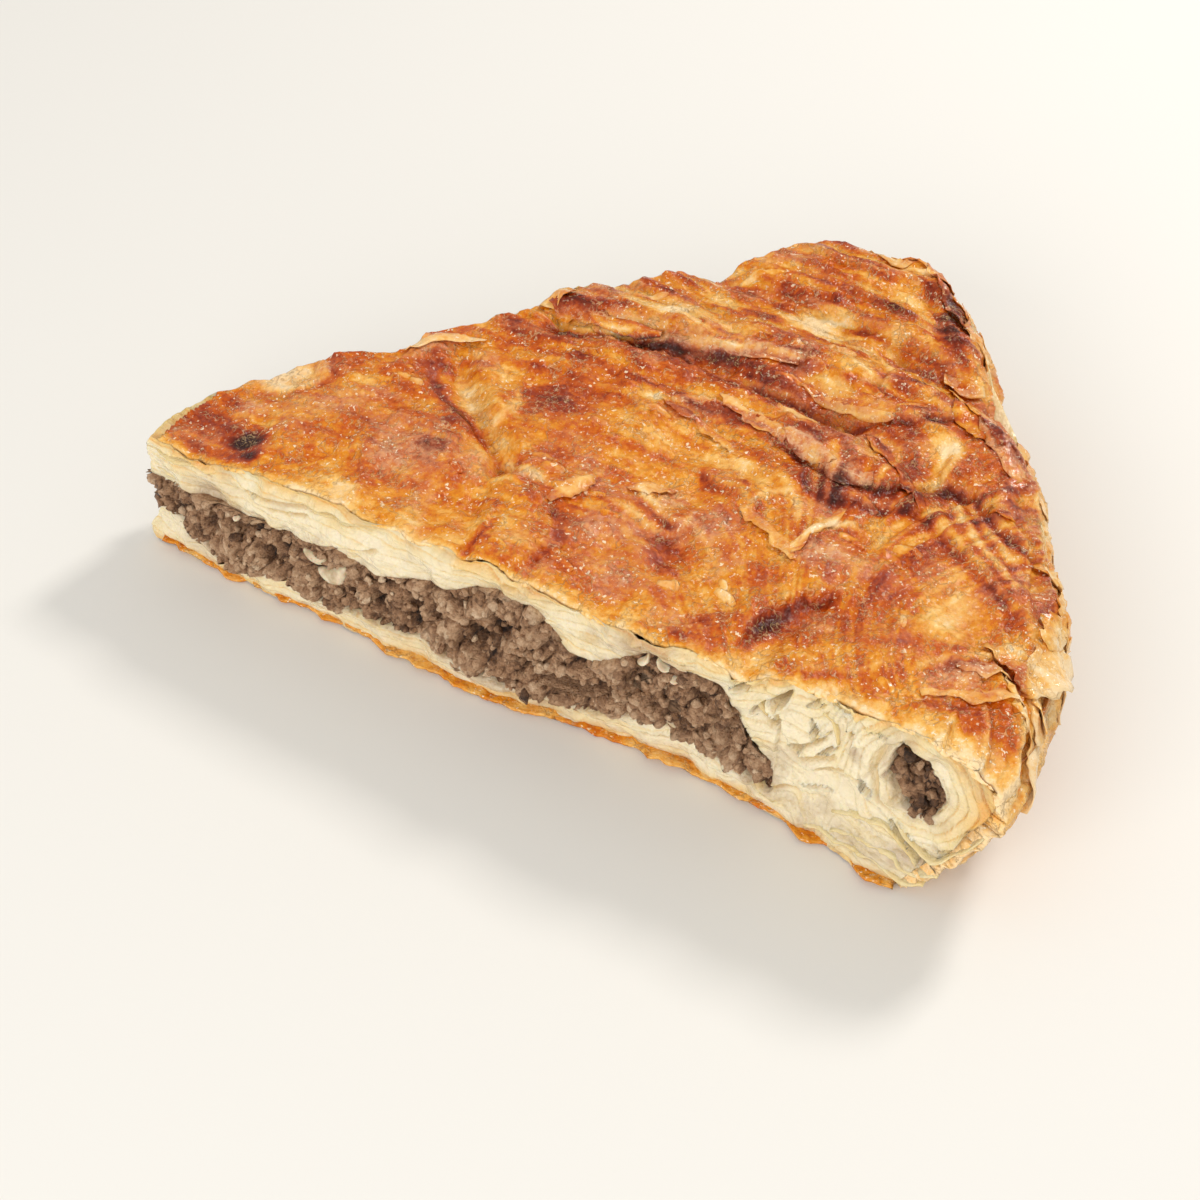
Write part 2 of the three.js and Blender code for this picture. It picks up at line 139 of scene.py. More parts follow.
# Outer edge: plan radius in mm at an angle in degrees, where it is widest, and how far it draws in by height.
rim_radius = curve_through(
    (-26, 213), (-20, 214), (-14, 210), (-7, 205), (0, 200.5), (4, 197.5), (6.2, 193.5), (9, 194.5),
    (14, 195.5), (18, 195.5), (21.5, 191.5), (24, 184), (26, 174),
)  # fmt: skip
rim_profile = curve_through(
    (0, -17), (0.17, -12.8), (0.33, -8.2), (0.5, -5), (0.66, -2), (0.8, 0), (0.92, -0.6), (1, -2.5)
)
tip_profile = curve_through((0, 11.5), (0.1, 10), (0.35, 13.5), (0.6, 11.5), (0.8, 13), (1, 15.5))
crown_height = curve_through((8, 31.5), (30, 32.5), (55, 35), (95, 36.5), (140, 37), (170, 38), (230, 37.5))
# How far each cut bulges out (+) or sits back (-) from a true plane, at its foot and at the edge of the top.
front_foot = curve_through(
    (0, 0), (25, 2), (50, 1.4), (66, 0.6), (87, 1.4), (108, -2), (140, -3.4), (154, -2), (170, -1),
    (179, 1.6), (200, 0)
)
front_top = curve_through((0, 0), (25, 0.7), (95, 0), (143, -0.5), (160, -3.5), (200, -3.5))
back_foot = curve_through(
    (0, -1), (35, -0.5), (48, -3), (58, -2.2), (75, 1.8), (88, 2.6), (105, 1), (115, -1.6), (126, 1.2),
    (140, 2), (170, 0)
)
back_top = curve_through(
    (16, -1.5), (22, 0.5), (40, -0.8), (57, -4), (62, -0.8), (78, -1.3), (90, -1.3), (95, 1.8), (112, 0),
    (121, 0.5), (127, -2.6), (140, 0), (157, 1.6), (172, -1),
)  # fmt: skip

# Folds of the top leaves: a curve in plan from a to c drawn towards b, height (- is a crease), half width.
FOLDS = (
    ((73, 25), (79, 6), (90, -12), -2.8, 3.6),
    ((79, 21), (85, 6), (92, -6), 1.4, 2.6),
    ((94, 45), (128, 38), (158, 27), 2.4, 5.5),
    ((95, 36), (132, 29), (160, 8), -2.0, 3.8),
    ((108, 27), (142, 16), (168, -10), 1.8, 4.6),
    ((150, 22), (166, 2), (188, -15), -1.8, 3.6),
    ((126, 62), (150, 46), (170, 34), -2.4, 4.4),
    ((170, 34), (184, 23), (198, 19), -2.8, 4.2),
    ((174, 70), (183, 40), (195, 6), 1.8, 3.6),
    ((143, -72), (146, -58), (157, -48), -2.6, 3.2),
    ((165, -8), (186, -24), (200, -54), 1.5, 3.2),
    ((158, -22), (180, -36), (192, -62), -1.4, 3.6),
    ((88, -12), (84, -26), (86, -42), -1.6, 2.8),
)
# Blisters (+) and dents (-): middle, half sizes, height.
BLISTERS = (
    ((93, -30), (8, 11), 1.7),
    ((110, -26), (9, 10), 1.5),
    ((127, -28), (7, 11), -1.9),
    ((58, -8), (18, 14), 1.4),
    ((36, 13), (9, 6), -1.2),
    ((152, 62), (18, 11), 0.4),
    ((112, 50), (14, 6), 0.2),
    ((168, -62), (13, 9), 1.6),
)


# Edges of large leaves, as points on the flat sheet, the leaf to the left of the line. First come how high
# its edge stands, how much painted shade darkens the hollow beside it, and how much paler its lip is, partly
# the leaf's own paleness and partly painted highlight.
EDGES = (
    (0.5, 0.12, 0.16, (31, 12), (36, 11), (42, 12), (46, 14.5), (45.5, 18), (44, 21.5)),
    (0.5, 0.1, 0.05, (60, 28), (64, 24.5), (68, 22.5), (72, 22.5), (76, 24.5), (80, 22.5), (85, 22)),
    (0.9, 0.2, 0.0, (88, -14), (86, -8), (82, -2), (76, 4), (70, 12), (66, 22)),
    (0.7, 0.06, 0.16, (84, 1), (88, 3), (90, 9), (89, 16)),
    (0.6, 0.16, 0.3, (88, -9), (91, -12), (95, -16), (100, -17.5)),
    (0.7, 0.16, 0.04, (96, -46), (100, -40), (102.5, -33), (101, -26), (97, -19)),
    (0.6, 0.26, 0.0, (84, -41.5), (86, -37), (89, -33), (90, -30)),
    (0.5, 0.1, 0.2, (100, -17), (103, -21), (106, -20), (109, -14)),
    (0.6, 0.1, 0.22, (111, -23), (117, -24.5), (123, -28.5), (128, -28), (132, -22)),
    (0.5, 0.14, 0.24, (117, -15), (121, -21), (126, -26), (129, -26)),
    (1.2, 0.1, 0.0, (92, 43.5), (97, 39), (104, 37.8), (113, 37.8), (122, 34.5), (130, 31.5)),
    (0.8, 0.24, 0.3, (98, 34.5), (106, 34), (114, 33.4), (122, 32.4), (131, 30.5), (140, 29),
     (148, 26.5), (154, 25)),
    (1.1, 0.26, 0.14, (128, 24), (138, 21), (146, 18), (152, 15), (157, 12.5), (162, 10.5), (170, 10.2),
     (180, 12.5), (187, 13.5)),
    (1.1, 0.3, 0.12, (136, 12), (144, 4), (150, -2), (156, -8), (161, -12.5), (168, -13), (174, -12),
     (179, -10), (185, -9.5),
     (189, -13), (190.5, -20), (195, -27), (201, -30), (207, -29)),
    (0.7, 0.2, 0.1, (148, -9), (155, -15.5), (161, -17.8), (168, -18), (176, -20), (181, -26),
     (186, -34), (192, -42),
     (197, -50), (200, -56)),
    (0.5, 0.16, 0.24, (182, -12), (183.5, -20), (187, -28), (192, -36), (196, -45)),
    (0.5, 0.16, 0.2, (186, -12), (188, -21), (191, -29), (197, -37)),
    (0.6, 0.12, 0.36, (150, -35), (154, -30), (160, -25), (164, -26)),
    (0.5, 0.1, 0.16, (140, -25), (143, -20), (148, -17), (151, -21), (150, -27)),
    (0.5, 0.12, 0.1, (131, -9), (134, -14), (138, -16), (141, -22)),
    (0.9, 0.3, 0.04, (142, -62), (145, -55), (149, -50), (154, -46), (161, -45.5)),
    (0.4, 0.1, 0.1, (152, -70.5), (158, -69), (165, -69.5), (173, -66)),
    (0.6, 0.14, 0.2, (174, -69), (178, -65), (184, -62), (190, -60), (194, -57), (199, -61), (203, -60)),
    (0.9, 0.22, 0.1, (197, -93), (195.5, -84), (196, -76), (195, -70), (192, -64), (190, -58)),
    (0.8, 0.16, 0.14, (143, 52.5), (150, 50), (157, 47), (163, 42.5), (168, 40), (174, 38), (179, 33.5),
     (184, 28), (189, 23.5)),
    (0.6, 0.16, 0.0, (134, 57), (140, 56), (146, 54), (153, 51), (161, 51)),
    (0.5, 0.06, 0.14, (157, 38), (162, 34.5), (167, 31), (169, 25), (166, 18.5)),
    (0.5, 0.1, 0.14, (116, 36), (119, 39.5), (124, 41), (127, 38), (128, 35)),
    (0.7, 0.16, 0.0, (176, 62), (178, 53), (180, 45), (182, 38), (187, 30)),
)  # fmt: skip
EDGE_REACH = 11  # how far from a line it still shows


def off_curve(x, y, a, b, c):
    """Distance in plan to a curve from a to c drawn towards b."""
    nearest = np.full(np.shape(x), 1e9)
    for t in np.linspace(0, 1, 17):
        along = (1 - t) ** 2 * np.array(a) + 2 * t * (1 - t) * np.array(b) + t * t * np.array(c)
        nearest = np.minimum(nearest, np.hypot(x - along[0], y - along[1]))
    return nearest


def top_height(x, y):
    height = crown_height(np.hypot(x, y)) + 0.9 * lumps(x / 13, y / 13, 1) + 0.5 * lumps(x / 6, y / 6, 2)
    for a, b, c, rise, width in FOLDS:
        height = height + rise * hill(off_curve(x, y, a, b, c), width)
    for (x0, y0), (half_x, half_y), rise in BLISTERS:
        height = height + rise * np.exp(-(((x - x0) / half_x) ** 2) - ((y - y0) / half_y) ** 2)
    return height


def beside(line, x, y):
    """Share of the way along a smooth line where it is nearest, and how far left of it is a place."""
    ways = np.linspace(0, 1, len(line))
    t = np.linspace(0, 1, 9 * len(line))
    line_x, line_y = (curve_through(*zip(ways, axis))(t) for axis in np.transpose(line))
    ahead = np.gradient(line_x), np.gradient(line_y)
    nearest, share, left = np.full(np.shape(x), 1e9), np.zeros(np.shape(x)), np.zeros(np.shape(x))
    for k in range(len(t)):
        off_x, off_y = x - line_x[k], y - line_y[k]
        gap = np.hypot(off_x, off_y)
        nearer = gap < nearest
        nearest, share = np.where(nearer, gap, nearest), np.where(nearer, t[k], share)
        side = (ahead[0][k] * off_y - ahead[1][k] * off_x) / math.hypot(ahead[0][k], ahead[1][k])
        left = np.where(nearer, side, left)
    return share, left


def leaf_edges(x, y):
    """What the edges of the large leaves add at a place: height in mm, browning with painted shade in the
    hollow beside each edge, and dryness along its lip that is partly painted highlight.
    """
    height, bake, dry_and_highlight = np.zeros(np.shape(x)), np.zeros(np.shape(x)), np.zeros(np.shape(x))
    for rise, edge_shade, pale, *line in EDGES:
        low, high = np.min(line, 0) - EDGE_REACH, np.max(line, 0) + EDGE_REACH
        near = (x > low[0]) & (x < high[0]) & (y > low[1]) & (y < high[1])
        share, left = beside(line, x[near], y[near])
        left = left + 0.6 * rough(x[near], y[near], 3, 19)
        fade = np.clip(7 * share, 0, 1) * np.clip(7 * (1 - share), 0, 1)
        # Painted shade in the hollow beside the edge, and a paler lip that is partly painted highlight.
        lip, shaded_hollow = fade * hill(left - 0.5, 0.8), fade * hill(left + 1.2, 1.4)
        height[near] += rise * (fade * smooth(left, -0.4, 0.5) * hill(np.maximum(left, 0), 6) - 0.4 * shaded_hollow)
        bake[near] += edge_shade * shaded_hollow - pale * lip
        dry_and_highlight[near] += 1.8 * pale * lip
    return height, bake, dry_and_highlight


def rim_wrinkles(angle, share):
    arc = angle * 200
    return (1.1 * lumps(arc / 11, share * 5, 7) + 0.7 * lumps(arc / 5, share * 9, 8)) * (0.4 + 0.6 * share)


def cut_out(side):
    """Outward direction of a cut in plan: -1 is the front cut, 1 the back."""
    return np.array((-math.sin(HALF_ANGLE), side * math.cos(HALF_ANGLE)))


def cut_bulge(side, along, share):
    foot, top = (front_foot, front_top) if side < 0 else (back_foot, back_top)
    leaves = 0.55 * lumps(along / 9, share * 11, 3 + side) + 0.4 * lumps(along / 4.5, share * 7, 5 + side)
    return mix(foot(along), top(along), smooth(share, 0, 0.8)) + leaves


def tip_radius(across, share):
    return tip_profile(share) + TIP_SLANT * across**3


def plan_place(across, radius, share):
    """Plan place at a share of the way across the wedge from the front cut, moved to where the cuts run."""
    angle = mix(-HALF_ANGLE, HALF_ANGLE, across)
    along = radius - TIP_LINE
    place = np.stack((radius * np.cos(angle), radius * np.sin(angle)), -1)
    for side, near in ((-1, (1 - across) ** 6), (1, across**6)):
        place = place + (cut_bulge(side, along, share) * near)[..., None] * cut_out(side)
    return place


# The crust's way over the outer edge: distance over the surface, how far out, share of the height.
RIM_PATH = (
    (0, 0, 1), (8, 7.9, 0.984), (13.7, 13.2, 0.93), (18.7, 16.8, 0.835), (22.2, 18.6, 0.754),
    (25.9, 19.1, 0.654), (30.6, 17.1, 0.54), (36.5, 14, 0.405), (42.4, 10.8, 0.27), (49.3, 6.1, 0.135),
    (55.9, 1.8, 0.006), (63.7, -6, 0),
)  # fmt: skip
rim_out = curve_through(*((past, out) for past, out, share in RIM_PATH))
rim_share = curve_through(*((past, share) for past, out, share in RIM_PATH))
RIM_END = RIM_PATH[-1][0]
LOWEST = 0.3  # nothing of the crust comes nearer to the table


def rim_start(angle):
    return rim_radius(np.degrees(angle)) - EDGE_DRAW - RIM_ROLL


def crust_place(x, y, lift=0.0):
    """Place on the crust of a point of the flat sheet it is wrapped from, lifted off along its normal."""
    reach, angle = np.hypot(x, y), np.arctan2(y, x)
    start = rim_start(angle)
    past = np.maximum(reach - start, 0)
    share = rim_share(past)
    across = np.clip((angle + HALF_ANGLE) / (2 * HALF_ANGLE), 0, 1)
    radius = np.where(past > 0, start + rim_out(past), reach)
    radius = radius + rim_wrinkles(angle, share) * smooth(past, 3, 18) * smooth(RIM_END - past, 0, 12)
    beyond = np.maximum(np.abs(angle) - HALF_ANGLE, 0) * np.sign(angle) * reach
    level = top_height(radius * np.cos(angle), radius * np.sin(angle)) * share + lift
    place = plan_place(across, radius, level / CROWN) + beyond[..., None] * np.array((0, 1))
    height = top_height(place[..., 0], place[..., 1]) * share
    rise = (rim_share(past + 0.5) - rim_share(past - 0.5)) * CROWN
    run = np.where(past > 0, rim_out(past + 0.5) - rim_out(past - 0.5), 1)
    length = np.hypot(rise, run)
    out = -rise / length * lift
    out_x, out_y = np.cos(angle) * out, np.sin(angle) * out
    height = np.maximum(height + run / length * lift, LOWEST)
    return np.stack((place[..., 0] + out_x, place[..., 1] + out_y, height), -1)


def wrinkle_run(x, y):
    """Distances along and across the wrinkles, which fan from the middle of the back cut to the front rim."""
    turn = np.radians(-26 - 38 * smooth(-y, -10, 70) * smooth(x, 120, 180))
    return x * np.cos(turn) + y * np.sin(turn), y * np.cos(turn) - x * np.sin(turn)


def wrinkling(x, y):
    """1 where the leaves are gathered in wrinkles, behind a line from tip to outer edge, and 0 in front."""
    return smooth(y + 0.63 * x, 74, 92)


def streaks(x, y):
    """Fine drawn-out unevenness along the wrinkles, from -1 to 1."""
    along, over = wrinkle_run(x, y)
    over = over + 1.5 * rough(x, y, 14, 21)
    return rough(along / 7, over, 1.7, 23)


def lapped(over, along, size, seed):
    """Leaves lapping over each other: how high each point stands, and its place from edge to edge."""
    at = over / size + 0.9 * lumps(along / (4 * size), over / (2.5 * size), seed)
    place = at - np.floor(at)
    strength = np.clip(0.55 + 0.6 * lumps(along / (4.5 * size), np.floor(at), seed + 1), 0, 1.2)
    return smooth(place, 0, 0.84) * (1 - smooth(place, 0.84, 1)) * strength, place


def leaf_field(x, y):
    """Lapping of the leaves at a place: how wrinkled it is, the height of its leaves, and their edges."""
    arc, past = np.arctan2(y, x) * 200, np.hypot(x, y) - rim_start(np.arctan2(y, x))
    along, over = wrinkle_run(x, y)
    over = over + 2.2 * rough(x, y, 16, 31) + 0.8 * rough(x, y, 5, 28)
    large, large_place = lapped(-over, along, 7.6, 33)
    small = lapped(-over + 1.3 * rough(x, y, 6, 25), along, 3.1, 36)[0]
    wrapped = smooth(past, -2, 10)
    down = past + 0.35 * arc + 2.5 * rough(x, y, 14, 57)
    rim_large, rim_place = lapped(down, arc, 6.4, 58)
    rim_small = lapped(down, arc, 2.7, 60)[0]
    wrinkled = mix(0.25, 1, wrinkling(x, y))
    height = mix(wrinkled * (1.5 * large + 0.6 * small), 1.5 * rim_large + 0.6 * rim_small, wrapped)
    edges = mix(hill(large_place - 0.8, 0.09) * large, hill(rim_place - 0.8, 0.09) * rim_large, wrapped)
    return wrinkled, height, edges * mix(wrinkled, 1, wrapped)


def leaf_work(x, y):
    """The lapping and the large edges of the leaves at a place, which its relief and its looks share."""
    return leaf_field(x, y), leaf_edges(x, y)


def crust_relief(x, y, work):
    """Fine form of the crust in mm: leaves that lap in wrinkles and scales, and small blisters."""
    relief = work[0][1] - 0.3 + work[1][0]
    warp_x, warp_y = x + 2.4 * rough(x, y, 7, 35), y + 2.4 * rough(x, y, 7, 38)
    for size, step, seed in ((15, 0.5, 41), (6.5, 0.3, 47)):
        number, off_x, off_y, edge = plates(warp_x, warp_y, size, seed)
        turn = number * 9
        tilt = off_x * np.cos(turn) + off_y * np.sin(turn)
        relief = relief + step * (0.6 * number + 1.3 * tilt) * smooth(edge, 0, 0.12)
        relief = relief + 0.3 * step * hill(edge - 0.1, 0.08)
    relief = relief + 0.3 * rough(x, y, 3.2, 51) + 0.2 * rough(x, y, 1.3, 54, 2)
    return relief + mix(0.2, 0.45, wrinkling(x, y)) * streaks(x, y)


# Browning by place, with painted shade in some creases and painted highlight on some lit strips: middle, half
# sizes, turn in degrees, change (+ is darker). 0 is cream and 1 is burnt.
TONES = (
    ((22, -2), (10, 9), 0, 0.08), ((33.5, -6.8), (3.2, 2.6), 0, 0.55), ((35, -12.4), (2.4, 2.0), 0, 0.5),
    ((32, -9.5), (8, 5), -15, 0.16), ((38, 15.5), (8.5, 4), 12, -0.3), ((31, 4), (3, 3), 0, -0.12),
    ((52, 17), (8, 5), 20, 0.08), ((67, 19), (4, 3), 0, 0.1), ((66, 10), (7, 7), 0, -0.03),
    ((76, 4), (2.4, 9), 38, 0.16), ((78, -1), (4, 2.5), 0, 0.16), ((79, 11), (2.6, 12), 30, -0.2),
    ((87, -4), (2, 6), 35, -0.12), ((85, 12), (4, 8), 15, -0.08), ((70, -10), (9, 9), 0, 0.07),
    ((56, -22), (13, 4.5), -26, -0.13), ((80, -34.5), (5, 2), 0, 0.16), ((78, -26), (9, 6), 0, 0.02),
    ((95, -37), (4.5, 5), 0, -0.03), ((92, -24), (6, 5), 0, 0.08), ((97, 14), (8, 12), 0, 0.1),
    ((98, 3), (6, 7), 0, 0.06), ((90, 34), (9, 4), 15, 0.08), ((96, 27), (10, 6), 0, 0.06),
    ((104, 40), (10, 1.8), -5, 0.22), ((108, 36), (9, 1.4), 0, -0.22), ((121, 40), (5, 4), 0, -0.2),
    ((113, 46), (9, 4), 0, 0.06), ((128, 56), (5, 6), 0, -0.1), ((110, 30.5), (9, 3), 0, 0.14),
    ((122, 28), (12, 4), -12, 0.17), ((136, 24), (10, 3.5), -20, 0.18), ((148, 16), (8, 3.5), -30, 0.16),
    ((118, 13), (3, 2.6), 0, -0.22), ((105, 15), (7, 6), 0, 0.11), ((126, 14), (8, 4.5), -15, 0.12),
    ((115, -8), (8, 6), 0, -0.05), ((126, -34), (4.5, 8), 10, 0.24), ((116, -44), (8, 4), -20, 0.04),
    ((127, -47), (5, 4), 0, 0.05), ((133, -13), (2.6, 5), 0, 0.16), ((140, -5), (6, 4), -30, -0.05),
    ((145, -18), (5, 7), 0, -0.05), ((156, -14.5), (6.5, 3), -38, 0.26), ((168, -17.5), (10, 4), -8, 0.2),
    ((176, -24), (4, 4), 0, 0.1), ((152, 2), (8, 3), -38, 0.14), ((162, 5), (4, 4), 0, 0.1),
    ((178, 0), (9, 7), 0, -0.1), ((183, 4), (4, 3), 0, -0.1), ((165, 15), (5, 2.4), 0, -0.18),
    ((163, 28), (5, 5), 0, -0.06), ((155, 30), (7, 4), 0, 0.07), ((150, 43.5), (8, 4), -25, -0.28),
    ((168, 39), (4, 3.4), 0, -0.16), ((165, 26), (3, 2.6), 0, -0.12), ((138, 43), (7, 5), 0, 0.08),
    ((148, 56), (9, 3), -12, 0.1), ((181, 48), (2.4, 10), 10, 0.26), ((186, 52), (3.4, 6), 0, 0.14),
    ((191, 39), (4, 9), 0, -0.14), ((185, 29), (2, 6), 40, 0.2), ((191, 13), (2.6, 11), -5, 0.2),
    ((202, -12), (5, 14), 0, -0.16), ((185, -23), (3.6, 10), 22, -0.08), ((184, -48), (8, 12), 15, -0.17),
    ((171, -43), (7, 6), 0, 0.12), ((162, -50), (8, 6), 0, 0.06), ((148, -54), (2.4, 8), -38, 0.18),
    ((146, -63.5), (3, 4.5), 0, -0.26), ((156, -69.5), (5, 1.8), 0, 0.1),
    ((180, -84), (24, 3.6), -25, -0.2), ((183, -78), (6, 2.6), -15, 0.08), ((175, -61), (8, 4), 0, 0.04),
    ((195, -67), (2, 7), 10, 0.14), ((205, -45), (5, 14), 0, -0.1), ((204, -74), (5, 5), 0, 0.04),
    ((199, -84), (5, 7), 0, -0.08), ((60, -25), (9, 5), -26, 0.08), ((22, 4), (8, 8), 0, 0.05),
    ((33.5, -8), (3, 3), 0, 0.2), ((45, -17), (5, 4), 0, 0.09), ((50, 13), (6, 6), 0, -0.1),
    ((82, 7), (4, 6), 30, -0.12), ((155.5, 45.5), (5, 3.2), -25, -0.3), ((181, -50), (6, 7), 15, -0.14),
    ((163, -77), (7, 3), -25, -0.1), ((138, 55), (5, 3), 0, -0.1), ((182, 43.5), (2, 5), 10, 0.16),
    ((200, -70), (9, 15), 0, -0.12), ((155, 46), (6, 3), -25, -0.14), ((159, -44), (6, 5), 0, -0.08),
    ((110, -26), (6, 5), 0, 0.06), ((70, -13), (6, 5), 0, 0.05), ((198, -77), (5, 7), 0, -0.16),
    ((158, 38), (10, 1.6), -30, -0.2), ((146, 30), (9, 1.2), -28, 0.22), ((128, 36), (8, 1.4), -10, 0.2),
    ((170, 22), (9, 1.4), -40, 0.18), ((172, 52), (6, 1.6), -40, -0.18),
)  # fmt: skip
# Dry, whitish leaf over the browning, in places painted highlight on lit strips and ridges: middle, half
# sizes, turn in degrees, strength.
VEILS_AND_HIGHLIGHTS = (
    ((38, 15.5), (8, 3.6), 12, 0.9), ((31, 4), (3.4, 3), 0, 0.7), ((49, 5), (9, 5), 0, 0.45),
    ((70, -10), (9, 9), 0, 0.55), ((84, -13), (4, 5), 0, 0.5), ((95, -16), (3.6, 1.4), -20, 1.0),
    ((95, -37), (4, 4), 0, 0.3), ((108, 36), (9, 1.2), 0, 1.0), ((114, -31), (8, 5), 0, 0.45),
    ((124, -19), (3.6, 3.6), 0, 0.8), ((116, -43), (7, 3.6), -20, 0.4), ((135, -27), (4, 6), 0, 0.5),
    ((128, 8), (6, 3.6), 0, 0.25), ((160, -11), (3.6, 2), -45, 1.0), ((152, -2), (3, 1.4), -50, 0.6),
    ((163, 2), (5, 4), 0, 0.2), ((138, 29.5), (8, 1.0), -8, 0.9), ((186, 52), (3, 5), 0, 0.5),
    ((191, 40), (3.4, 8), 0, 0.6), ((157, -35), (5, 3.6), 0, 0.9), ((184, -66.5), (5, 3.4), 0, 0.8),
    ((204, -74), (4, 4), 0, 0.5), ((80, 10), (1.6, 11), 30, 0.35), ((137, 54), (4, 2), 0, 0.4),
    ((165, 15), (5, 2), 0, 0.3), ((66, 27), (6, 2.4), 20, 0.7), ((150, 43), (6, 2.4), -25, 0.3),
)  # fmt: skip


def patches(x, y, spots):
    """Sum of soft patches with ragged edges."""
    ragged_x, ragged_y = x + 2.2 * rough(x, y, 9, 61), y + 2.2 * rough(x, y, 9, 64)
    total = 0
    for (x0, y0), (half_x, half_y), turn, change in spots:
        c, s = math.cos(math.radians(turn)), math.sin(math.radians(turn))
        off_x, off_y = ragged_x - x0, ragged_y - y0
        a, b = (off_x * c + off_y * s) / half_x, (off_y * c - off_x * s) / half_y
        total = total + change * np.exp(-((a * a + b * b) ** 1.3))
    return total


def crust_bake(x, y, work):
    past = np.hypot(x, y) - rim_start(np.arctan2(y, x))
    wrinkled, height, edges = work[0]
    bake = 0.42 + 0.06 * rough(x, y, 24, 67) + 0.1 * rough(x, y, 8, 71) + wrinkled * 0.17 * (height - 0.5)
    bake = bake + mix(0.1, 0.32, wrinkled) * streaks(x, y)
    warp_x, warp_y = x + 2.4 * rough(x, y, 7, 35), y + 2.4 * rough(x, y, 7, 38)
    leaves = 0.05 * plates(warp_x, warp_y, 15, 41)[0] + 0.06 * plates(warp_x, warp_y, 6.5, 47)[0]
    rim_bake = 0.2 + 0.1 * rough(x, y, 12, 73) + 0.08 * (height - 0.5) + 0.1 * streaks(x, y)
    # Paler along the lapped leaves' edges, partly their own paleness and partly painted highlight.
    bake = mix(bake, rim_bake, smooth(past, 10, 26)) + leaves - 0.26 * edges
    # The patches and the large leaves' edges bring painted shade and painted highlight into the browning.
    bake = bake + patches(x, y, TONES) + work[1][1]
    to_cut = (np.arctan2(y, x) + HALF_ANGLE) * np.hypot(x, y)
    return bake - 0.14 * hill(to_cut, 1.1) - 0.05 * hill(to_cut, 5)


def crust_veil_and_highlight(x, y, work):
    scraps = smooth(plates(x + 3 * rough(x, y, 6, 77), y + 3 * rough(x, y, 6, 79), 7, 81)[0], 0.55, 0.75)
    past = np.hypot(x, y) - rim_start(np.arctan2(y, x))
    # Dry whitish leaf, with painted highlight from the listed patches and along the leaves' lips and edges.
    dry_and_highlight = patches(x, y, VEILS_AND_HIGHLIGHTS) + work[1][2] + 0.3 * work[0][2]
    return np.clip(dry_and_highlight + 0.25 * scraps + 0.3 * smooth(past, 8, 26), 0, 1)


def places(bm):
    return np.array([vert.co[:] for vert in bm.verts])


def move(bm, where):
    for vert, place in zip(bm.verts, where):
        vert.co = place


def mark(bm, name, values):
    """Gives every vertex its value of a named attribute, which the materials read."""
    layer = bm.verts.layers.float.get(name) or bm.verts.layers.float.new(name)
    for vert, value in zip(bm.verts, np.broadcast_to(values, len(bm.verts))):
        vert[layer] = value


def rim_of(bm):
    return [edge for edge in bm.edges if edge.is_boundary]


def settle(bm, name, material, *nodes, slot="pastry"):
    """Makes the finished mesh a piece of the part: in the frame's metres, smooth, on its body."""
    bmesh.ops.recalc_face_normals(bm, faces=bm.faces)
    bmesh.ops.translate(bm, verts=bm.verts, vec=APEX)
    bmesh.ops.scale(bm, verts=bm.verts, vec=(0.001, 0.001, 0.001))
    mesh = bpy.data.meshes.new(name)
    bm.to_mesh(mesh)
    bm.free()
    mesh.shade_smooth()
    piece = bpy.data.objects.new(name, mesh)
    bpy.context.scene.collection.objects.link(piece)
    piece.data.materials.append(material)
    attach(piece, "root")
    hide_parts(*nodes)
    return piece


# The CAD's piece of onion shows where the meeting point of the cuts lies in the frame.
ONION = {"along": 51.5, "height": 15.8, "proud": 0.4}


def on_cut(side, along, height, proud=0.0):
    """Place on a cut at a distance from the tip and a height, standing proud of it."""
    across = np.full(np.shape(along), 0.0 if side < 0 else 1.0)
    plan = plan_place(across, TIP_LINE + along, height / CROWN) + np.multiply.outer(proud, cut_out(side))
    return np.concatenate((plan, np.reshape(height, np.shape(along) + (1,))), -1)


onion_place = on_cut(-1, np.array(ONION["along"]), np.array(ONION["height"]), ONION["proud"])
onion_low, onion_high = (Vector(corner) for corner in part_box("onion_piece"))
APEX = (onion_low + onion_high) * 500 - Vector(onion_place)

CRUST_GRAIN = 0.55  # size of the fine sheet's squares
SHEET = {"low": (12, -108), "high": (262, 116)}  # corners of the flat sheet
CRUST_THICK = 0.8


def wedge_sheet(grain):
    """A flat fine sheet cut along both cuts, from the tip to past the outer edge."""
    bm = bmesh.new()
    (x0, y0), (x1, y1) = SHEET["low"], SHEET["high"]
    across, up = x1 - x0, y1 - y0
    bmesh.ops.create_grid(bm, x_segments=int(across / grain), y_segments=int(up / grain), size=0.5)
    bmesh.ops.scale(bm, verts=bm.verts, vec=(across, up, 1))
    bmesh.ops.translate(bm, verts=bm.verts, vec=((x0 + x1) / 2, (y0 + y1) / 2, 0))
    for side in (-1, 1):
        geometry = bm.verts[:] + bm.edges[:] + bm.faces[:]
        out = (*cut_out(side), 0)
        plane = {"plane_co": (0, 0, 0), "plane_no": out}
        bmesh.ops.bisect_plane(bm, geom=geometry, clear_outer=True, dist=1e-4, **plane)
    return bm


